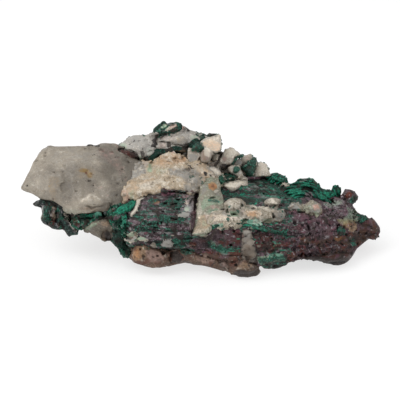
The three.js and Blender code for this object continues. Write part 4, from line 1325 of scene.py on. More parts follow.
def under_stone():
    body = Body("under_calcite", grow=0.35, voxel=0.3)
    body.soften(0.8, 2)
    body.raise_by(waves((0.6, 6, 7, 2), (0.2, 1.6, 9, 3)))
    body.carve("""
    swell 0.8 1.4 83,230 87,225 93,222 99,219.8 105,219.4 109,221 111.4,226 114.4,229 118,230.4 119,232
    114,234 110,232 107,230 103,231.6 100,235 92,233 85,232.6
    dig 0.4 0.4 100,236 103,231.6 107,230 110.4,232.2 113.4,233.6 112.4,240 107,241 102,239
    """)
    body.scatter(300, (0.4, 1.2), sink=0.45)
    body.soften(0.3, 1)

    def also(made, points, facing, base):
        back = behind(facing)
        # browner in patches on the back, a stain, and on faces that look down, a painted shade
        plus(made, "brown", 0.8 * patches(points, 5, 0.35, 2) * back + 0.6 * step(-facing[:, 2], 0.2, 0.7))
        plus(made, "green", patches(points, 4, 0.15, 5) * back)

    stains = """
    pink 1 113,230,3 0.4 96,222 104,220 110,222 112,227 104,229 98,227
    mint 1 99,222.5,1.6 0.6 84,229 90,224.6 96,222 98,224 92,229 87,231
    brown 1 100,236 103,231.4 107,229.8 110.4,232.2 114,233.4 113,241 107,241 102,239.6 0.5 84,229 96,231
    100,236 88,233
    dark 0.9 104,233 108,231 112,234 112,241 106,241 0.5 98,234 104,233 104,240 98,237 0.6 83,229 88,232
    84,233
    rust 0.8 111,233 116,231 119,232 114,234.6
    tan 0.6 100,221 108,221 110,226 102,227
    """
    speckles = """
    dark 0.8 1.4 0.03 11 0.03
    """
    material = mineral(
        "under_calcite", ("554f44", "6f685b", "8d8575"), "332c25",
        hollow_shade_strength=0.6, depth=0.08, rough=(0.5, 0.7), translucent=0.1)
    build(body, material, stains, speckles, also=also)


def foot():
    body = Body("stained_foot", grow=0.35, voxel=0.3)
    body.soften(0.8, 2)
    body.raise_by(waves((0.5, 5, 7, 2), (0.2, 1.6, 9, 3)))
    front = ring("""
    132,252 134,246 137,243 142,243.4 150,245 153,248 160,249 165,250.4 168,254 169,262 167,266 160,267.8
    152,268 146,266.4 140,264.8 134,262.8 131,259 129.6,256
    """)
    body.swell(front, height=1.1, round_by=1.6, deep=4, tilt=(0, 0))
    body.carve("""
    dig 0.5 0.4 160,250 165,249.6 166,254.6 162,255
    dig 0.7 169,253 172,250.6 178,250 182,255 184,258 182,262.6 178,264.4 172.5,265 169,263
    swell 0.2 0.9 iron 168,252.4 171,249.6 178,249 182,253 184,258 182,262 178,264 172.5,264.6 169,262.6
    dig 0.9 0.5 183,260 190,262 194,264 190,266 180,266 177,265
    swell 0.6 1.2 190,256.4 196,253.6 204,253 212,255 218,258 220,262 218,267 212,267.4 204,266 195,264.6
    189,262
    swell 0.9 1 227.6,258 231,255.6 236,255.8 239,259 237.4,264 233,268.6 229,267.6 227,263
    swell 0.7 1.2 237,267 243,260.4 250,261.6 256.6,264.6 258,268 252,269.6 246,269 240,270.4
    """)
    body.scatter(700, (0.5, 1.5), sink=0.55)
    body.pit(600, (0.4, 1.0), 0.3)
    body.carve("""
    swell 1.6 2 232,267 240,265.4 252,265.6 258,267.6 261,271 257,276 248,278 238,277 231,272
    trim 0.4 120,240 270,240 262,270 259,274.4 254,277 246,278 238,277.5 230,274.5 222,271 214,268.2
    204,265.7 194,264.6 190,263.2 184,262.6 178,264 168,266.6 160,267.7 152,267.9 146,266.7 140,265
    134,262.7 131,259.7 128,257
    ball 0.1 201,239.6,5,1.9,8
    swell 0.7 0.7 iron 188,244 191,241.3 195,241.3 196.8,245 194,248 190,247.4
    """)
    body.soften(0.25, 1)

    def also(made, points, facing, base):
        # browner in patches, a stain, and on faces that look down, a painted shade
        plus(made, "brown", 0.6 * patches(points, 4, 0.35, 2) + step(-facing[:, 2], 0.2, 0.8))
        plus(made, "dark", 0.95 * area(points, facing, "170,252 178,250 184,257 180,263 172,263"))

    # The light entries are painted light and shade: lighter at the upper left, darker over the rest and most
    # along the bottom near the ground.
    stains = """
    tan 0.7 132,252 135,246 141,244 148,246 146,256 140,262 133,260 0.7 236,268 244,260.6 254,264 252,269
    242,270.6 1 195,240.4 198,237.8 203,237.3 206.4,239 203,241.4 198,241.8 0.5 190,257 204,254 214,257
    208,264 194,263
    orange 0.55 132,254 136,248 141,248 142,258 136,261 0.5 228.6,258 236,256.6 236.6,262 231,267
    rust 1 151,258,3 157,255,3 212,263,3 1 169,252 172,250 178,249.6 183,254 184,259 182,262.6 178,264
    172,264.4 168.6,260 0.8 228,258 232,256 237,257 238,262 233,268 229,266 0.7 186,254 192,252 196,257
    190,260 0.5 160,250 166,250 166,256 161,255
    pink 0.7 144,250 154,248 162,252 166,260 158,264 148,262 0.7 192,256 206,254 216,259 212,265 198,263 0.5
    238,258 248,258 250,264 240,266 0.6 222,258 228,258 228,268 221,268
    grey 0.5 218,258 226,262 226,270 218,268 0.6 246,262 258,264 258,270 250,269
    brown 0.5 136,246 168,248 168,262 140,262 0.9 150,244 162,250 170,252 168,250 156,243 140,242 0.8
    222,268 234,270 246,268 260,268 258,277 240,279 226,274 0.6 156,262 166,260 168,267 156,267 0.6 204,264
    220,263 222,270 206,267
    green 1 207,250.6,2.4 0.8 181,244 190,247 196,249 192,254 186,256 180,252 0.6 143,247 149,247 150,251
    144,251 0.6 216,250 222,252 220,256 215,254
    light 0.4 134,246 150,245 150,252 134,256 -0.4 134,260 168,260 168,268 134,266 -0.4 168,248 230,254
    228,270 168,266 -0.6 226,256 262,258 262,268 226,268 -0.4 232,266 260,266 258,278 230,276
    dark 1 151.4,262.6,1.4 158,262,1.3 163,252.4,1.9 214,264,1.8 226,272,2 0.85 234,270.6 240,268.6
    246,270.6 252,270.6 258,268.6 260,271 258,276 250,278 242,278 234,275.6 0.8 198,241.8 206,241.4 208,245
    204,248.4 199,246.6 0.6 184,259 190,261 186,264 180,262 0.7 220,256 224,258 223,263 219,262
    """
    speckles = """
    rust 0.6 3 0.15 4
    dark 0.8 1.3 0.04 11 0.04
    pale 0.5 1.5 0.1 13 0.05
    """
    material = mineral(
        "stained_calcite", ("4c372d", "6a5243", "927b6a"), "231915",
        hollow_shade_strength=0.7, depth=0.1, rough=(0.42, 0.65), translucent=0.08)
    build(body, material, stains, speckles, also=also, soft=2.2)


# Malachite


def botryoidal(body, count, fine=1.0):
    """Covers a body with small rounded grains and chips."""

    def relief(points):
        large, small = cells(points, 1.5 * fine, 2), cells(points, 0.75 * fine, 4)
        return 0.4 * (0.6 - large) + 0.25 * (0.6 - small) + 0.3 * layers(points, 3, 6, 2)

    body.raise_by(relief)
    body.scatter(count, (0.4, 0.9), sink=0.4, shape="ball")
    body.scatter(count // 2, (0.4, 0.9), sink=0.4, flat=0.5)
    body.pit(count, (0.4, 0.8), 0.2)
    body.soften(0.4, 1)


def green_mineral(name, tones, hollow_shade_tone, hollow_shade_strength, depth):
    return mineral(name, tones, hollow_shade_tone, hollow_shade_strength, depth, rough=(0.5, 0.75), specular=0.2)


def green_also(dark, brown):
    """Patches of a malachite crust: dark and brown are the shares that those cover."""

    def also(made, points, facing, base):
        # painted shade: the darkest green goes into the broad hollows, where the swell attribute is low
        gap_shade = 0.7 * step(-base["swell"], -0.2, 1.2)
        plus(made, "shade", 0.8 * patches(points, 1.6, dark, 3, 0.08) + gap_shade)
        plus(made, "teal", 0.35 * patches(points, 1.2, 0.06, 7, 0.05))
        plus(made, "brown", 0.8 * patches(points, 2.4, brown, 9, 0.05))

    return also


def hoops(points):
    """-1 to 1 in arcs about the foot of the hood, as the crust has grown in layers there."""
    foot_x, foot_y, spacing = 301, 202, 4.2
    px, py, _ = project(points)
    far = np.hypot(px - foot_x, 1.5 * (py - foot_y))
    far = far + 1.6 * noise(points, 2.2, 27) + 0.7 * noise(points, 0.9, 28)
    return np.cos(far * FULL_TURN / spacing)


def right_crust():
    body = Body("malachite_crust_right", grow=0.3, voxel=0.27)
    body.soften(0.5, 1)
    botryoidal(body, 300, 0.8)

    def ribs(points):
        rib_spacing = 0.8
        wave = np.sin(points[:, 0] * FULL_TURN / rib_spacing + 2 * noise(points, 2.5, 3))
        return 0.12 * wave * step(points[:, 0], 35, 36.5)

    body.raise_by(ribs)
    body.raise_by(lambda points: 0.26 * hoops(points) * step(35.5 - points[:, 0], 0, 1.5))
    body.carve(f"""
    swell 0.9 0.7 296,183.6 299,180.4 303,178.6 308,177.8 313,178.8 315.6,181 313,182.6 308,181 302,182
    298,184.6
    0.7 295,187.6 300,184.6 306,183 312,184.4 315,187 313,188.6 308,186.4 302,187.4 297,189.8
    0.7 289,191.4 296,189.6 303,190.4 309,191 305,193 297,193 290,194.4
    0.5 290,196.4 298,195 304,196 302,198 294,199 289,199
    0.8 318,193 324,191.8 330,192 334,190 339,190.6 340,193 336,195.6 331,198.6 325,200.6 320,200.6
    swell 0.7 copper 305.6,192.4 311,191 313,195 312,200 308,202 304.4,200.6 304,196
    dig 0.7 0.4 301,188.4 307,187 314,189.6 312,191 306,190.4 301,191
    0.6 288,201.6 294,199.8 299,200.8 299,203 293,203.6 288,203.6
    dig 12 0.3 0.3 {HOOD_NOTCH}
    """)
    body.soften(0.1, 1)

    def also(made, points, facing, base):
        green_also(0.12, 0.02)(made, points, facing, base)
        plus(made, "shade", 0.9 * step(-hoops(points), 0.0, 0.7))
        plus(made, "bright", 0.8 * step(hoops(points), 0.2, 0.9) * patches(points, 3, 0.6, 17))

    stains = """
    grey 0.7 299,180.6 304,178.4 311,178.4 313,180.6 306,181 300,183 0.5 304,192 312,191 313,201 305,201
    mauve 0.9 305.6,192.4 311,191 313,195 312,200 308,202 304.4,200.6
    brown 0.9 312.6,179 316,181.6 316.6,186 314,184 0.6 334,188 338,187 341.6,190 339,191 0.5 318,201
    324,201 322,204
    dark 1 315.6,183,1.8 1 301,188.4 307,187 314,189.6 312,191 306,190.4 301,191 0.9 288,201.6 294,199.8
    299,200.8 299,203.6 288,204 0.8 296,185 302,183.6 300,187 296,188 0.7 285,197 292,196 292,198 286,199
    0.6 316,196 318,200 316,203 314,200
    bright 0.9 288,190 302,189 303,196 289,197 0.8 318,193 336,191.6 334,197 322,200 0.6 298,182 310,181
    310,186 298,186
    teal 0.3 290,191 300,190 300,193 290,194
    """
    material = green_mineral("malachite_crust_right", ("093125", "145c49", "28957b"), "020b08", 0.85, 0.2)
    build(body, material, stains, also=also)


def left_crust():
    body = Body("malachite_crust_left", grow=0.2, voxel=0.27)
    body.soften(0.5, 1)
    body.carve("""
    dig 5 0.3 82,230 87,225 93,222 99,220 105,219.6 109,221.4 111.4,226.4 114,229.4 118.4,230.6 119,232
    114,234.4 112,241.4 107,242 100,238 92,234.6 84,234
    3 62,207 70,208.6 80,212.6 74,214.6 66,217 60,214
    """)
    botryoidal(body, 700)
    body.carve("""
    swell 1 0.9 112.6,214.4 114,209 119,206.4 124,203.4 131,200.8 137,200.3 135,206 131,211.4 127,213.4
    121,214.8 116,216
    swell 0.9 0.8 121,216 127,213 128.4,218 126.4,226 122,229.4 119.8,226 121.6,220
    swell 0.7 0.7 112,226 113,221 117,218 121,218.6 121,224 117,228.2 113,228.6
    swell 0.5 0.8 75,214.2 82,213 88,214.6 93,213.4 97,210.8 102,213 103,216 99,219 94,221 90,223 86,226
    82,229.4 80.2,226 80,219
    swell 0.6 0.9 112,240 115,236 119,233 124,231 127,233 125,237 124,241.4 131,243.4 135,242.4 133,247
    130,252 128.6,256.6 124,256.8 121.4,253.6 120.4,250 117.4,247.6 115,244 112,242
    dig 0.7 0.5 127.6,214.4 133.6,213 134,222 131,229 127,232 126.6,224
    dig 9 0.2 104,241.6 111.6,241.4 114.2,244.8 118.6,248.4 120.6,253.4 123.6,256.6 130,257.6 130,264
    104,264
    swell 0.6 0.8 103,211 112,209 115,213 111,218 104,217
    swell 1.2 0.4 124,204 133,201.4 133,202.6 124,206
    1.2 119,209 131,205 131,206 119,211
    1.2 123,216 125,216 123,227 121,226
    1.2 114,222 119,219 119.6,220 115,224
    1.2 84,216 90,219 89,221 83,218
    1.2 118,238 124,234 124,235.4 119,240
    swell 1 0.7 3 calcite 122.6,236.6 126,233.6 131,231 135,231.8 138,235 137,239.4 133.6,242.4 128.6,243.2
    124.6,241
    swell 0.7 0.5 copper 112.4,219.4 114,216.6 119,215.2 121.6,216.4 118,218.4 114,221
    swell 0.7 0.5 iron 70,219 73,217.2 78,217 80.4,220 80.4,226 78,229.4 75,227 71.4,223
    ball 0 118.6,212,1.6,1.6,0 130,248,1.6,1.6,0
    """)
    body.raise_by(lambda points: 0.5 * (0.5 - cells(points, 1.4, 12)) + 0.35 * layers(points, 1.5, 13, 3))
    body.scatter(420, (0.4, 0.9), flat=0.6, sink=0.3)
    body.pit(260, (0.4, 1.0), 0.15)
    body.soften(0.1, 1)

    def also(made, points, facing, base):
        green_also(0.22, 0.07)(made, points, facing, base)
        for name in ("shade", "bright", "teal", "dark"):
            made[name] = made[name] * (1 - 0.9 * base["is_calcite"])

    stains = """
    rust 0.6 111,209 115,208 115,213 112,212 0.5 70,218 80,217.6 80,228 75,227
    bright 0.9 113,213 119,207 131,201 137,200.6 134,206 127,212 120,214 0.7 121,216 127,214 127,224 122,227
    0.5 84,214 96,212 102,214 96,217 86,218
    grey 0.7 125,238 133,233 137,236 134,242 127,242.6
    mint 0.7 126,233 131,231 134,233 128,235.6 0.4 136,234 137.4,236 136,240 134,240 0.6 125,233 135,232
    134,237 126,238
    mauve 1 127.6,214.4 133.6,213 134,222 131,229 127,232 126.6,224 0.9 112.4,219.4 114,216.6 121.4,216
    118,219 114,221
    dark 1 98,216 106,216.6 112.6,215.4 113,219.6 106,220 98,219.4 0.8 84,219.6 89,219 91,222 84,227 81,229
    0.6 124,250 128,247 132,244 134,243 131,252 128.6,257 125,257 0.6 112,240 118,237 122,240 118,246 0.7
    75,216 80,215 81,222 77,219 0.7 122,236 126,238 124,243 121,241 0.6 124,229 129,226 130,231 125,232
    teal 0.8 92,213 97,210.6 102,212.6 101,216 95,216.6 0.6 121,205.6 129,202.4 128,206 121,209 0.6 122,218
    126,217 124,226 121,225 0.6 117,208 120,207 119,211 115,213 0.5 114,239 118,235 122,234 118,239
    shade 0.8 112,229 120,229 122,233 121,238 124,243 130,246 130,250 112,248 0.7 75,214 88,214 90,218
    80,224 0.7 98,215 112,214 112,220 98,220
    """
    speckles = """
    grey 0.75 0.9 0.12 31 0.06
    teal 0.8 0.8 0.1 32 0.05
    mauve 0.8 1.8 0.1 33 0.06
    """
    material = green_mineral("malachite_crust_left", ("062a20", "0b4836", "177558"), "020b08", 0.8, 0.3)
    build(body, material, stains, speckles, also=also)


def band():
    body = Body("malachite_band", grow=0.25, voxel=0.27, pad=4)
    body.soften(0.5, 1)
    botryoidal(body, 260, 0.8)
    body.carve("""
    swell 1.4 0.6 3 184,146 188,142.4 192,139.4 198,136.6 201,134.2 207,132.4 212,133.4 216.4,133.6 213,136
    205,139.2 199,142.8 194,144.6 190,147.4 186,149
    dig 4 0.3 198.6,143 203,140.6 207,138.4 213,135.8 220,135 220,152 203,152 201,147
    2.5 156,156 162,154.4 168,152.2 175,151.2 180,151.6 187,152 187,157 170,157 156,160
    """)
    body.soften(0.15, 1)

    def also(made, points, facing, base):
        green_also(0.3, 0.08)(made, points, facing, base)

    # The brown at 175-187, 149-155 is a painted shadow beneath the band.
    stains = """
    dark 0.95 181,145 187,143.4 190,146 187,151 181,150 0.8 164,149.4 172,146.6 174,150 166,152 0.9 141,157
    148,157 149,161 141,161 0.7 186,142.6 192,139.6 192,143.6 187,146 0.7 207,133 216,133 214,136 208,136
    brown 0.9 175,149.6 187,149.6 187,155 181,155.6 176,153 0.6 207,133 212,132.6 212,135 208,136
    shade 0.5 186,142 194,139 203,141 203,152 188,150
    teal 0.4 191,140 198,136.6 202,134.6 204,137.6 197,141 192,143 0.3 160,149.6 166,148.6 164,152 160,153
    """
    speckles = """
    grey 0.7 0.8 0.1 31 0.05
    """
    material = green_mineral("malachite_band", ("081d17", "10332a", "1f5345"), "030907", 0.8, 0.2)
    build(body, material, stains, speckles, also=also)


def knob():
    body = Body("malachite_knob", grow=0.2, voxel=0.25, pad=3.2)
    body.soften(0.5, 1)
    botryoidal(body, 90, 0.7)
    body.carve("""
    dig 0.5 0.3 165.4,129.4 167,126.8 171,124.6 177,124 178,127 174,128.6 170,130 166.4,131.4
    swell 0.8 0.9 calcite 164,130.4 166,127.4 170,125 176,124.2 177.4,126.6 174,127.9 170,129.4 166,131.4
    swell 0.7 0.7 calcite 159.6,126.8 163,124.4 167.2,124.2 166.6,126.6 162,128.8
    swell -0.6 0.5 156,128 159.6,123.6 162.2,120.8 164.4,120.4 166.4,122.4 165,125.4 160,128.6
    -0.6 164,125 170,122.2 176,121.8 181.4,123.2 182.4,126 178,127
    swell 0.7 0.8 154,129 158,128 164,127.6 164,130 159,133 155,132.6
    swell 0.6 169.6,129.6 174,128.2 178.4,128.6 178.2,130.4 174,132.8 169.6,132.4
    swell 0.8 0.7 177.4,124 181,123.4 182.4,126 181.6,129.4 178.6,129
    trim 0.4 153,129 156,126 160,122.8 162,120.8 164.5,120.4 166.4,122.3 170,121.8 176,121.4 181.4,122.9
    182.8,126 182.4,129.6 178,131.4 173,133.4 168,133 164,135 160,136.6 155.6,134.4 153,131.8
    """)
    body.soften(0.12, 1)
    # The light entry is painted light over the knob's top, and the silvery marks on its rim are partly
    # painted glints.
    stains = """
    mint 0.9 159.6,126.8 163,124.4 167.2,124.2 166.6,126.6 162,128.8 0.5 164,130 166,127.4 169,126 168,129
    pink 0.8 168,128 170,125.4 176,124.4 177,126.6 172,128.4
    silver 0.5 166,123 172,122.4 178,122.6 176,124.4 168,126 0.4 157,128 163,125 163,127 158,131
    dark 0.9 169.6,129.6 174,128.2 178.4,128.6 178.2,130.6 174,133 169.6,132.6 0.7 159,134 166,132 166,134
    160,136 0.7 160,124 163,121 165,122 161,125
    teal 0.5 155,129.4 160,128.4 162,131 157,132.6
    grey 0.5 160,129.4 168,130 166,132.4 160,132.6
    light 0.4 156,122 182,122 182,130 158,132
    """
    material = green_mineral("malachite_knob", ("0b211b", "16392f", "346253"), "040a08", 0.7, 0.1)
    build(body, material, stains, also=green_also(0.2, 0.08))


# Copper


def bedding(points):
    """Height across the copper's laminae, with their bends."""
    return points[:, 2] + 0.07 * points[:, 0] + 0.9 * layers(points, 9, 2, 2) + 0.25 * noise(points, 2.2, 5)


def sheets(points):
    """Relief of the laminae: each comes forward towards its upper edge and breaks off there."""
    height = bedding(points)
    total = 0
    for period, depth, seed in ((1.9, 0.26, 1), (1.0, 0.26, 2), (0.62, 0.16, 3)):
        part = (height / period + 0.4 * noise(points, 3.0, seed)) % 1.0
        profile = part * step(1 - part, 0.0, 0.2)
        total = total + depth * (profile - 0.45) * (0.4 + 1.0 * step(noise(points, 3, seed + 6), -0.4, 0.5))
    return total


def copper_chips(body):
    """Flakes along the laminae, and the rubble of the right half."""

    def right(points):
        return step(points[:, 0], 8, 18)

    def mostly_right(points, facing):
        return 0.3 + 0.7 * right(points)

    def front_right(points, facing):
        return right(points) * step(0.75 - facing[:, 2], 0, 0.4)

    def mostly_front_right(points, facing):
        return 0.15 + 0.8 * right(points) * step(0.75 - facing[:, 2], 0, 0.4)

    body.scatter(900, (0.8, 2.0), flat=0.16, sink=0.5, shape="box", lie=0.8, axis=BEDDING)
    body.scatter(2600, (0.4, 1.1), sink=0.35, where=mostly_front_right)
    body.scatter(900, (0.4, 1.1), flat=0.35, sink=0.25, where=mostly_right)
    body.pit(1400, (0.5, 1.2), 0.1)
    body.scatter(320, (1.0, 2.2), flat=0.6, sink=0.65, where=front_right)
    body.scatter(300, (0.8, 2.0), sink=0.1, cut=True, where=front_right, flat=0.5)
    body.scatter(2200, (0.35, 0.8), sink=0.2, where=front_right)


def copper_shape(body):
    """The outline of the mass, its panel at the left and the crystals in it."""
    body.carve(f"""
    swell -1.2 0.6 4 copper 344,200 354,203 357.5,208 361,213.4 366,216 366,224 346,224
    swell 3.1 1.2 3 copper 296,256 306,257 312,255 322,255.6 334,253 348,252 353,254.6 350,259 345.6,263.4
    338,266.8 332,265.4 326,263.4 318,261 300,260
    trim 0.25 120,150 290,160 342,180 352,188 357,193 357.9,195.4 358,198.2 357,200.9 354.6,203.2
    352.2,204.6 353.6,207 356,210.4 360.6,214.4 366.6,216 369,219 372,217.2 376,221.6 380.4,228 380,234
    376.6,239.8 372,239.8 369,238.6 363,243.4 357,248.4 353.6,254.4 350,259.4 345.8,263.4 338.4,267
    332,265.6 326,263.4 319,260.8 312,260.2 304,259 299,259.8 294,261.4 288,262.6 285.4,265.4 281,267.3
    278,268.8 270,269.6 262,270 262,280 120,280
    dig 2 222.6,186 225,182.4 229,181.3 233,180.4 236,178.4 239,176.4 243,175.8 246.2,177.4 247.7,181
    248.2,185 245,186.6 242,185.7 240,187.2 237,189.7 233,191.2 229,190.7 226,188.7
    dig 2 0.4 132,252 131,246 136,243 142,243.4 150,245 153,248 160,249 165,250.4 168,254 169,262 160,268
    131,266
    swell -0.1 0.6 5 copper 238,184 246,178 250,174.6 256,176 270,174.6 284,181 284,187 262,190
    dig 12 0.3 0.3 {HOOD_NOTCH}
    swell 0.5 0.5 4 copper 188,196 192.6,196 196,194 199,193 199.4,199 198.6,207 196.6,214 195,222 192.4,231
    188,231 187,220
    """)
    shelf = ring("""
    186,235 193,235 200,234.4 207,233.6 211,231 214,226 218,222 222,224 222,240 218,250 190,250
    """)
    body.swell(shelf, height=-0.4, deep=6, tilt=(0, 0))
    body.carve(f"""
    swell 0.5 0.4 3 copper {PANEL_TOP} 186,204 180,208 160,208 142,207 139,205
    swell 1.1 159.6,193 162,188 163.8,186.6 166.6,189 171,190.4 170,194 163,196
    1.3 171,190.6 178,190.8 181,193 178,197 172,196
    1.5 180,191.6 186,190 192,189.6 197,190 197,194 192,198.6 184,199 180,196
    2.3 168,189.4 176,189.6 184,190.4 192,189.4 198,189.6 197.6,194 190,196 182,197 174,195 168,193
    0.7 145.6,198 147.2,194.4 151,194 155,196 153,199.6 147,201
    0.6 140,200.4 144,200 147,204 145,208 141,206
    0.3 157,213.4 164,214.4 169,216 170,218.4 176,219 182,217.8 184,220.6 181,223 176,224.4 170,223.8
    162,224.4 158,222.4
    dig 0.9 0.3 0.4 170,217.2 174,218.6 178,219 178,220.4 172,219.6 170,218.6
    0.9 147,223.8 155.4,224 155.4,225 147,224.8
    0.9 152,226.4 158.6,226.8 158.6,228.4 153,228.4
    0.9 163,202.6 168,201.8 168,203.6 163,204.6
    0.9 170,204 177,202.4 177,204 171,205.4
    0.9 175,199 180,199 180,201 176,201
    0.9 160.4,221 163,222 162,224 160.4,224
    0.9 176,208.4 181,208.4 181,210 176,210
    0.9 166,230 174,230.6 172,231.8 166,231.4
    dig 0.8 0.4 193.4,203 194.2,197.4 196.6,195 197.2,199 196.6,206 194.6,212 193.6,212
    swell 0.7 0.4 calcite 188.6,222 190.4,222 191,229 188.8,229.6
    swell 0.2 0.4 iron 191.6,211 193.6,210.6 197,213 195.4,217.6 192.6,219
    swell 1.1 0.7 calcite 137,198 141,196.4 144.4,197.4 141,200.2 139.6,204 137.8,208 137.4,211 134.4,214.4
    131.4,216 130.8,213 133,210 135.4,206 136.4,201
    0.6 136.6,237.4 141,235.8 145.4,238 148.4,240 146,241.8 140,241 136.4,239.6
    0.5 182.4,198.4 187,196.4 191,199 191,204.6 187,206.4 184,204.4 182.6,201.4
    0.6 177,214.4 184,212 190,213 189.4,216.4 184,217.8 177,217
    0.5 183.6,206.6 188,205.6 191.4,208 190.6,211.6 187,212.6 184,210
    0.1 243,229.4 247,229 252,231 252.4,238 254.4,244 256.2,250 256,257 250,258.4 246,262 242,266 238,268
    233,270.4 236,266 240,262 242.4,256 241,248 242,240 242.6,234
    1.1 266.6,202.6 269,199.4 272,197.8 275,200 278,202 279.6,204.2 272,204.4 268,204.6
    0.9 280,184 284,182.3 289.4,183.3 290.4,186 287,188.3 284,187.3 281.3,185.7
    0.5 269,207.4 276,207.2 284,208 284,210.6 276,210.6 270,210
    0.6 341,223.4 346,220.8 352,222.4 357.4,224 356.4,230 352,232.4 348,229.4 343,226.4
    1 151.4,244 154,242.3 157.3,244 156.3,247.6 153,248.8
    1.3 160.6,244 163,240.8 167,239.2 171.4,240.4 174.4,244 172,247 166,247.8 162,247
    0.7 257,245 260,244.6 261,246 258,247
    0.6 170,235 173,234.6 174.6,236 171,236.6
    0.9 191,234.4 197,232.8 206,234 208,236.2 203,236.8 196,235.8
    0.5 262,258 268,257.6 273.4,261 271.4,264.4 265,262.4
    ball 0 calcite 246.2,233,4,3,20 249,236.6,3.6,3.4,-30 246.4,240.4,4.4,3.6,10 250,243.4,4.2,3.6,40
    247,247.4,4.6,3.6,-10 251.4,249.6,4,3.6,0 247.6,253,5,3.2,15 252.4,255,4,3.4,0
    0.2 272.4,202,8.4,4.2,5
    swell 1 0.7 malachite 269.6,175 273,173 278,172.8 281.4,175 285,176.3 286.8,179.5 285.3,182.3 281,182.8
    276,181.3 272,179.8 269,177.6
    0.6 172,239 178,238.4 184,241 186,246 182,249 178,247.4 174,243.4
    0.5 336.6,228.4 341,225.8 345.3,229 346.4,233 341,234.8 336.8,232.4
    0.5 349,238 353,237.6 355.4,241 356.4,246 353,246.4 350,242
    0.7 357,215 362,214.6 366.6,216.4 368.4,219 364,221.8 360,222.8 357,219.4
    0.5 250,221.2 256,219.4 261,221.3 262.4,225 258,226.8 253,224.8
    0.6 211.6,225.4 217,223.2 222.4,225 221,227.3 215,228.8 211,228.4
    0.5 240,225.4 246,225 247,228 241,228.6
    swell 0.6 0.9 256,256.4 262,258.4 268,254 274,252.3 280,253.4 286,256 288.4,260 287,264.4 283,266.4
    278,268.4 272,268.8 264,268.4 259,264
    swell 0.5 0.7 206,241.4 213,239.8 216,244 222,246 227,249 229,253 226,256.4 220,254.4 214,250 208,247.4
    swell 0.2 1.6 3 copper 343.8,192.8 346,190 350,189.8 354.4,192 357.6,195.8 357.4,199.8 354.6,202.8
    350,204 346.6,201.6 344.6,197.4
    swell 0.7 0.9 iron 345,192.4 349,190.8 352.4,193 352.4,196.6 348,198.4 344.8,196.6
    swell 1.1 0.4 2 0.4 326,203.4 327.6,199.6 331,196.8 335.6,196 340,198 342.6,202 341,206.4 339,205.4
    340.2,202 338,199.4 335,198.2 331.6,199 329.4,201 328.4,204.6
    """)


def copper_details(body):
    """The row of cups under the hood, and what lies about it and along the right edge."""
    cups = "326,204,3,2.4 331,201.6,3,2.6 336,200,3,2.4 341,200.6,2.6,2.2 333.6,205.6,3,2 339,205,3,2"
    for x, y, wide, tall in listed("1 " + cups + " 327.6,207.6,2.6,1.8 323.8,206.6,2,2")[0][1]:
        body.place([(x, y, wide, tall, 0)], 0.3)
        body.place([(x - 0.2, y + 0.3, 0.55 * wide, 0.5 * tall, 0)], -1.2, cut=True)
    body.carve("""
    swell 0.8 1.2 copper 333,209.4 338,206 343,205.4 348,206.4 350.4,210 349.4,215 345,217.3 340,216.3
    336,218.3 333,214
    swell -0.4 0.5 3 copper 336,196.6 340,194.8 344,195 346.6,198 343,201.4 338,201
    swell 0.5 copper 371,219 374.4,219.6 377,224 379.6,229.6 374,228.6 370.4,224.6
    swell 0.3 1.2 3 iron 371.4,228.8 375,228 379.8,228.6 380,232 377.6,236.4 374.4,239.4 371.4,238.4 370,233
    swell 1.3 0.5 dark 229.2,227.3 231.5,221.6 233.2,225 234.3,228.4 230,228.9
    swell 0.9 0.5 malachite 234,222.6 240,222 247,223.6 257,226.2 264,226 272,228.6 280,230.8 287,230.6
    287,234.8 280,235.2 272,233.4 262,231.6 256,229.4 248,227 240,225.8
    dig 0.9 0.3 196,237.2 202,236.4 208,237 207,238.4 200,238.2
    0.5 183,238 188,237 193,237.6 193,239 188,240 184,240
    swell 0.7 0.3 2 0.2 copper 325,237.4 326.4,235.2 329.6,235.2 330.6,237.4 328.4,239 329.4,237.2
    328.6,236.2 326.6,236.4 326.2,238
    0.7 325,246.6 329,245.6 333,246 333,247 327,247.8
    0.7 336,245.8 340.4,246 340.4,247 336,247
    0.7 312,246 316.4,245.4 316.4,247 312.6,247.6
    0.7 326,256 331,250.6 331.6,251 327,257
    0.7 331,255.6 334.6,250 335.2,250.4 332,256.4
    """)


def copper_growth(body):
    """Malachite on the copper, and the flutes in front."""

    def green_at(points, facing):
        shown = sum(area(points, facing, places) for _, places in listed("1 " + COPPER_GREEN))
        return np.clip(shown + 0.8 * behind(facing) * patches(points, 7, 0.3, 8), 0, 1)

    def fluted(points):
        upright = layers(points * np.array((1, 1, 0.25), np.float32), 0.9, 41, 2)
        return 0.12 * upright * step(-np.abs(points[:, 0] - 14), -4, -2)

    body.scatter(2400, (0.35, 0.8), flat=0.6, sink=0.25, where=green_at, kind="malachite")
    body.raise_by(fluted)
    body.soften(0.12, 1)


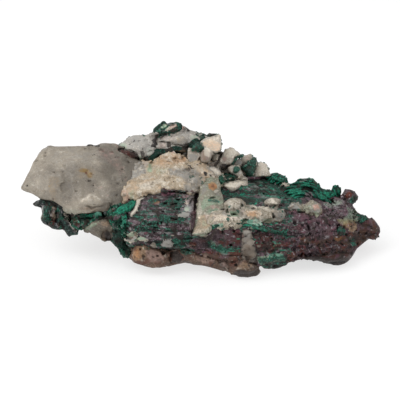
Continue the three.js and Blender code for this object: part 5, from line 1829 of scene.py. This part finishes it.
def copper_masks(made, points, facing, base):
    """Stains that follow the laminae, with painted shade along their grooves and partly painted glints: top
    is the lit top of the right half, and panel the left half.
    """
    back = behind(facing)
    height = bedding(points)
    flatter = np.array((0.4, 0.7, 1.6), np.float32)
    stripe = (height + 0.4 * noise(points, 3.0, 2)) % 1.0
    groove = step(np.abs(stripe - 0.98), 0.3, 0.05)
    streak = layers(points * np.array((0.35, 0.7, 1.8), np.float32), 1.0, 3, 3)
    made["green"] = np.clip(made["green"] * (0.8 + 0.4 * groove + 1.0 * streak), 0, 1)
    top = step(facing[:, 2], 0.3, 0.7) * step(points[:, 0], 3, 7) * step(33 - points[:, 0], 0, 8)
    plus(made, "green", np.clip(top * (0.5 + 0.5 * groove + 1.3 * streak), 0, 0.95))
    plus(made, "teal", 0.7 * top * patches(points, 0.9, 0.12, 26, 0.06))
    panel = step(-points[:, 0], 2, 4)
    plus(made, "green", np.clip(panel * (0.36 + 0.3 * groove + 1.1 * streak), 0, 0.8))
    # silvery patches on the panel, partly painted glints
    plus(made, "silver", 0.6 * panel * patches(points, 0.7, 0.12, 22, 0.05))
    plus(made, "grey", 0.75 * panel * patches(points * flatter, 1.2, 0.3, 28))
    plus(made, "bright", 0.8 * top * patches(points * flatter, 0.9, 0.14, 29))
    plus(made, "teal", 0.5 * panel * patches(points, 1.0, 0.1, 23, 0.06))
    plus(made, "green", 0.9 * back * patches(points, 7, 0.3, 8))
    low = step(-points[:, 2], -13, -6) * (1 - panel)
    plus(made, "rust", 0.9 * patches(points, 1.4, 0.4, 4) * (0.55 + 0.45 * low) * (1 - panel))
    plus(made, "plum", 0.65 * patches(points, 1.1, 0.22, 24) * (1 - panel))
    plus(made, "grey", 0.65 * patches(points, 1.0, 0.2, 27) * (1 - panel) * (1 - 0.6 * low))
    plus(made, "brown", 0.8 * patches(points, 3, 0.5, 6) * (0.25 + 0.75 * low) * (1 - 0.7 * panel))
    # painted shade: dark along the grooves at the laminae's steps; the dark patches are part of the copper's
    # own tone
    plus(made, "dark", 0.8 * patches(points, 1.3, 0.2, 9) + 0.3 * groove)
    # silvery specks over the copper, partly its own bright metal and partly painted glints
    plus(made, "silver", 0.8 * patches(points, 0.7, 0.08, 15, 0.03))
    clean = 1 - 0.9 * np.maximum(0.75 * area(points, facing, VEIN), base["is_calcite"])
    for _, lump in listed(BARE_LUMPS):
        made["green"] = made["green"] * (1 - 0.85 * area(points, facing, lump))
    for name in ("green", "bright", "teal", "plum", "rust", "mauve", "silver", "dark"):
        made[name] = made[name] * clean


def copper():
    body = Body("copper_mass", grow=0.15, voxel=0.31)
    body.soften(0.6, 2)
    body.raise_by(waves((0.5, 7, 12, 2)))
    body.raise_by(sheets)
    copper_chips(body)
    copper_shape(body)
    copper_details(body)
    copper_growth(body)
    # The light entries are painted light and shade: lighter on the top and up the panel's right side, darker
    # over the lower half and most at the lower right and along the bottom. The silvery marks are partly
    # painted glints.
    stains = f"""
    green 1 {COPPER_GREEN}
    mauve 0.8 141,202 146,200 150,206 146,208 141,206 0.9 150,206 160,206 160,210 152,211 1 150,216 156,217
    157,222.6 150,222 1 164,190.6 176,191 178,195.6 166,196 0.7 240,194 262,194 262,200 242,201 0.9 250,176
    270,175 276,178 262,180.6 250,180 0.7 278,195 288,195.6 286,199 276,199 0.8 160,235 184,232 186,236
    170,238 1 342,206 349,206.6 349,215 343,217 0.7 220,230 232,229 236,240 224,242 0.6 288,212 322,216
    322,224 290,220 0.6 320,224 336,224 338,236 322,238 0.8 186,216 197,215 194,226 191,232 186,231
    plum 0.9 159,194 162,187.6 164,186 168,189 172,190 171,196 163,197 0.5 182,192 190,191 190,199 183,200 1
    144,231.6 148.6,232 147.4,235.4 143.6,235 1 155,236 160.6,235.6 160.6,239.4 155,239 0.7 165,191 175,191
    175,195 166,195 0.8 240,196 245,196 245,200 240,200 0.8 252,196 256.6,196.4 256,200 252,200 0.7
    262,182.6 270,182.6 270,185 262,185 0.7 256,191.6 263,191.6 263,194.6 256,194.6 0.8 250,176.4 262,176
    262,179 251,179.6 0.8 191.6,211 197,212 195,219 192,219 0.8 182.6,197 187.4,196.6 187.4,201 183,201 0.7
    281,222 290,221 290,227 282,227 0.5 288,212 312,214 318,222 300,222 0.5 343,207 349,208 348,216 344,216
    rust 0.8 218,230 240,229 241,247 224,246 1 345,192.4 349,190.8 352.4,193 352.4,196.6 348,198.4
    344.8,196.6 1 151,202 156,202.4 155,204.8 151,204.4 1 152.4,197 157.6,197 157.6,199 153,199.4 0.8
    216,238 240,236 241,247 226,247 218,243 0.8 253,232 262,232.6 270,236 276,241 274,252 264,254 256,246
    0.8 270,237 276,238 274,241 270,240.4 0.6 335,241 348,238 349,246 338,247 0.6 325,252 350,249 350,262
    336,266 322,262 0.6 357,224 368,220 370,236 360,243 0.9 371,229 379,229 378,237 373,240 0.5 286,250
    306,252 300,260 288,261 0.5 253,178 258,177 258,196 254,196 0.8 337,235 342,235 342,238 337,238
    orange 1 270.6,237.6,1.4 0.9 153,199.5 157,199.8 160.4,202 158,204.8 154,203.6 1 334.6,238 338,235.8
    342.4,237 343,239.8 339,240.8 335.4,240.2 0.4 298,238 304,237 312,243 306,244.4 300,241
    ochre 0.65 336,219 346,217.6 356,220 358,226 350,224 340,225 0.5 297,237.6 304,237 308,240 313,244.4
    306,244.4 299,241 0.5 346,238 350,239 350,248 346,247 0.4 320,252 328,252 326,258 320,258
    taupe 1 {VEIN} 1 259,256 268,256 275,260 272,266 262,264 0.7 257,243 262,243 262,249 257,248
    tan 0.45 242,244 254,244 256,256 244,262 1 341,223.4 346,220.8 352,222.4 357.4,224 356.4,230 352,232.4
    348,229.4 343,226.4 0.5 262,258 268,257.6 273,261 271,264 265,262
    grey 1 178,213 184,211.6 190,212.6 189.6,217 184,218 177,217.4 1 183.6,205 188,204.6 191.6,207 191,212
    187,213 184,210 0.7 182.4,197.6 187,196 191.6,198.6 191,205 187,207 183,204 0.9 160,244 163,240.4
    167,239 171.4,240 175,244 172,247.4 166,248 161,247.4 0.5 {VEIN} 0.7 186,193 197,191 193,212 187,214 0.7
    145,210 156,210 158,214 150,218 144,216 0.7 322,204 330,200 339,197 345,202 339,207.6 328,208 0.8
    243,230 251,230 251,238 243,238 0.6 182,196 191,198 191,207 183,206 0.6 371,219 374,219.6 379,228
    374,228 370,224 0.6 250,206.6 284,207 284,211 270,210.6 0.5 285,185 290,186 289,192 281,190
    mint 0.6 346,206 356,209 361,216 358,223 350,221 344,222 342,218 348,214 0.6 322,204 330,201 342,199
    344,204 330,208 0.7 248,226 258,226.6 258,230 248,230 0.8 130,232 137,231 138,242 130,243 0.8 136,236.6
    146,238 147,241 137,240 0.6 183.4,206 190,206 191,212 185,212 0.6 350,206.6 354,208.6 356.4,213 360,216
    358,222 353,219 350,215 0.5 336,219 350,217.4 356,219 354,223.4 340,225 0.6 176,244.4 182,244 182,248.4
    177,248 0.8 191,234.4 197,232.8 207,234 203,236.6 0.9 256,256 266,256 276,253 284,256 286,262 272,262
    262,266 258,263 0.7 206,241 214,240 218,246 210,248
    teal 1 274.6,242,2.2 0.45 250,181 262,181 284,186 284,203 262,199 246,190 0.7 268,254 276,252 284,254
    284,260 270,260 0.7 214,244 224,246 229,252 226,256 218,252 0.8 190,236 206,234 206,238 190,239 1
    250,221.2 256,219.4 261,221.3 262.4,225 258,226.8 253,224.8 0.8 241,225.4 246,225.4 246.6,228 241,228.4
    0.7 212,225 217,223.4 222,225 221,227.4 213,228.6 0.6 337,228.4 341,226 345,229 344,234 338,233 0.5
    272,254 280,254 280,259 273,260 0.8 352,240 355,241 356,246 353,246 0.4 190,249 195,250 194,253 190,253
    dark 0.8 296,259 306,257 320,255.6 334,259 350,256 348,262 338,268 326,264 304,261 0.7 163,188 165,187
    167,190 165,192 0.9 229.2,227.3 231.5,221.6 234.3,228.4 0.8 240,231 243,233 242,240 239,238 0.7 188,229
    194,228 192,233 188,232 0.6 169,203.4 178,201.6 178,204.2 170,206 0.9 163,202 168.6,201.6 168,204
    163,204.8 0.7 254,231 259,231 262,236 256,238 0.8 272,266 280,265.6 280,268.4 274,269.6 0.6 306,256
    320,254 322,262 308,260.6 0.7 262,240 270,241 270,252 262,252 0.6 354,233 360,230 360,242 355,245 0.7
    352,195 357,196 357,201 353,203 0.6 279,219 288,220 288,222.6 279,222 0.8 196,237 208,236.6 207,238.4
    198,238.4 0.6 305,233 311,233 311,242 306,240 0.7 240,199 256,199.6 256,203 244,203
    brown 0.7 370,220 378,226 379,234 372,239 362,243 358,226 0.6 325,250 352,248 352,258 338,266 324,262
    0.6 226,256 240,256 240,266 228,268 0.7 228,248 242,246 242,254 230,254
    light 0.8 183,191 197,189 195,200 193,214 183,212 -0.2 185,217 197,215 193,232 186,232 0.5 224,192
    250,178 284,180 286,204 224,204 0.35 221,188 246,192 246,202 224,200 -0.5 217,230 241,228 242,246
    226,248 -0.3 255,232 266,231 277,238 274,252 260,252 0.6 184,189 198,188 197,197 184,198 0.45 256,254
    287,253 288,268 258,270 -0.5 357,222 382,222 382,242 357,244 -0.4 286,240 370,236 350,266 286,262 -0.8
    298,254 352,252 348,262 338,268 300,262 -0.7 242,250 258,250 260,264 240,264 -0.4 214,236 262,232
    276,244 262,256 214,250 0.3 320,200 346,198 346,216 322,214 0.3 178,206 191,204 191,216 176,218 -0.4
    150,240 190,240 190,250 150,250 -0.5 190,236 220,226 222,240 200,250
    silver 1 228.2,234.6,1.2 234,237.6,1.4 294.8,224.4,1.2 0.5 186,197 194,195 193,213 187,215 0.4 322,203
    332,199 345,198 346,205 338,210 326,209 0.5 178,206 191,204 191,216 176,218 0.8 325,237.4 326.4,235.2
    329.6,235.2 330.6,237.4 328.4,239 0.7 325,246.6 333,245.8 333,247.4 327,247.8 0.6 312,246 316.4,245.4
    316.4,247.4 312.6,247.6 0.6 326,256 331,250.4 335,250 332,256.6 0.5 163,233 167,233 167,237 162,237 0.7
    170,234.8 174.4,234.8 173,236.6
    pale 1 136,198 141,196 145,197.4 141,200.4 140,204 138,208 137.6,211 134.6,214.6 131.4,216.6 130.4,213
    133,209.6 135,206 0.8 266,203 269,199 272,197.6 279.6,204 272,204.6 0.5 243,230 250,230 251,237 244,237
    pink 1 243,235,3 0.5 260,236 276,238 276,240 262,240 0.5 180,191 196,189 194,204 183,206
    """
    speckles = """
    pale 0.7 4 0.1 12 back
    mauve 0.8 1.5 0.22 14
    """
    material = mineral(
        "copper", ("34262a", "4a3a3e", "76686d"), "0a0606",
        hollow_shade_strength=0.85, depth=0.13, rough=(0.32, 0.55), metal=0.35, specular=0.25)
    build(body, material, stains, speckles, also=copper_masks, soft=1.5)


def spray():
    body = Body("copper_spray", grow=0.15, voxel=0.27)
    body.soften(0.5, 1)
    body.raise_by(waves((0.5, 3.2, 12, 2)))
    body.carve("""
    swell 0.3 0.8 3 32.4,204 36,201.2 40,199.8 46,200 46,204 41,207 36,206.4
    swell -0.6 0.6 3 40,199 46,199.4 54,200.6 60,205 63.4,210 58,210.6 50,207 42,204
    -0.8 61,212 66,217 70,217.4 75,217 76,226 68,224 62,220
    swell -0.9 0.5 3 66,213.4 72,212.4 77.4,213.6 77,219 70,219.6 66,217.6
    swell 0.8 0.9 3 42,209 43.6,205 48,204 50.4,208 50,216 47,220 44,222 41.2,220 41.2,217.6 43,214
    swell 0.8 0.8 3 56,206 60,204 63,207 63.4,213 62,220 58,226 56,222 57,214
    swell 1.2 0.9 3 59,215 62,214 67,219.4 73,227 78.6,234 72,235.4 69,236.8 66.6,233 64,228 60,221
    swell 0.5 0.9 calcite 50.4,207 55,206 57,210 56.4,218 52,221 50,215
    swell 0.5 0.5 iron 47.6,219 51,217.4 55,218.6 55.6,223 52,226 48.6,224
    swell 0.6 0.7 calcite 63,216.4 66,217 70,217 69.4,221.4 66.4,220
    0.4 63.6,210.4 70,210 76,212 74.4,215.6 70,218.4 66.4,218 64,214.6
    """)
    body.scatter(300, (0.4, 0.9), flat=0.6, sink=0.35)
    body.pit(160, (0.4, 1.0), 0.1)
    body.carve("""
    swell 1.7 0.3 2 0.2 calcite 66,219.4 67.4,219 77,231.6 76,232.4
    swell 1.1 0.4 2 0.2 calcite 42,206 43.4,205 42.4,212 41.6,218 40.6,218
    """)
    body.scatter(220, (0.3, 0.8), where=lambda points, facing: patches(points, 3, 0.3, 8), kind="malachite")
    body.carve("""
    trim 0.3 32.2,204 36,201 39.5,199.4 42,197 66,197 84,206 84,230 80,229.4 78.4,231 78,235 72,235.3
    69,237.1 66.6,234.2 64.6,230.4 61,230.1 56,229.4 52,228.6 49,226.4 45,224.4 41.2,221.4 40.6,218 42.2,214
    41.7,210 39.6,207.4 35,206.4
    """)
    body.soften(0.12, 1)
    # The silvery and grey marks along the left edge, 41-44, 204-219, are a painted highlight, and the other
    # silvery marks are partly painted glints.
    stains = """
    rust 0.5 48,218 54,218 55,223 51,226 48,223 0.5 70,218 80,218 79,228 74,226
    pale 0.3 51,208 55,207 56,216 52,219
    brown 0.9 50.4,207 56,206 57,212 56,219 51,220 0.6 63,217 70,218 70,222 65,221 0.6 56,226 60,221 64,228
    58,229
    green 0.6 43,207 49,205 50,216 46,221 43,218 0.5 57,206 61,206 61,218 57,224 0.5 60,216 66,221 74,231
    70,235 65,229
    silver 0.6 41,206 44,204 44,213 41.6,219 0.5 52,207 56,208 55,214 52,213 0.5 63,217 67,220 72,227 68,226
    dark 0.8 44,201 48,201 49,206 45,206 0.7 55,212 60,212 60,218 56,219 0.6 58,204 62,205 63,209 59,208 0.7
    48,200.4 56,202 57,205.6 50,204 0.6 44,222 49,225 54,228 49,227
    grey 0.6 41,206 44,204 43.6,213 41,219 0.5 34,203 39,201.6 40,206 35,205.4 0.5 64,218 68,221 76,231
    74,232
    mint 0.5 42,208 44,206 43.6,218 41.4,218
    """
    # The silvery speckles are partly painted glints.
    speckles = """
    green 0.6 2 0.15 8
    silver 0.6 0.8 0.14 18 0.05
    dark 0.8 1.8 0.2 9
    brown 0.6 2.6 0.2 6
    """
    material = mineral(
        "spray_copper", ("171e1d", "272f2e", "4a5654"), "050707",
        hollow_shade_strength=0.8, depth=0.2, rough=(0.35, 0.6), metal=0.25, specular=0.25)
    build(body, material, stains, speckles)


# Floor and light

FLOOR_HALF = 3.0
FLOOR_TONE = 0.32
FLOOR_ROUGHNESS = 0.8
FLOOR_GLOW = 0.68
WHITE = (1, 1, 1, 1)
SKY_STRENGTH = 0.75
LAMPS = (  # name, place, width and power
    ("key", (-0.36, -0.13, 0.45), 0.45, 1.7),
    ("fill", (0.4, -0.35, 0.35), 0.5, 0.4),
)


def make_stage():
    mesh = bpy.data.meshes.new("floor")
    corners = [(x * FLOOR_HALF, y * FLOOR_HALF, 0) for x, y in ((-1, -1), (1, -1), (1, 1), (-1, 1))]
    mesh.from_pydata(corners, [], [(0, 1, 2, 3)])
    floor = bpy.data.objects.new("floor", mesh)
    bpy.context.scene.collection.objects.link(floor)
    paint = Paint("floor")
    paint.feed(paint.shader, {
        "Base Color": (FLOOR_TONE, FLOOR_TONE, FLOOR_TONE, 1), "Roughness": FLOOR_ROUGHNESS,
        "Emission Color": WHITE, "Emission Strength": FLOOR_GLOW})
    mesh.materials.append(paint.material)
    world = bpy.data.worlds.new("studio")
    bpy.context.scene.world = world
    world.use_nodes = True
    world.node_tree.nodes["Background"].inputs["Color"].default_value = WHITE
    world.node_tree.nodes["Background"].inputs["Strength"].default_value = SKY_STRENGTH
    for name, place, size, power in LAMPS:
        data = bpy.data.lights.new(name, "AREA")
        data.size = size
        data.energy = power
        light = bpy.data.objects.new(name, data)
        light.location = place
        light.rotation_euler = (-Vector(place)).to_track_quat("-Z", "Y").to_euler()
        bpy.context.scene.collection.objects.link(light)
    bpy.context.scene.view_settings.view_transform = "Standard"


for make in (
    milky_block, cream_saddle, ridge, cluster, blade, ledge, tooth, under_stone, foot, right_crust,
    left_crust, band, knob, copper, spray
):
    make()
make_camera()
make_stage()
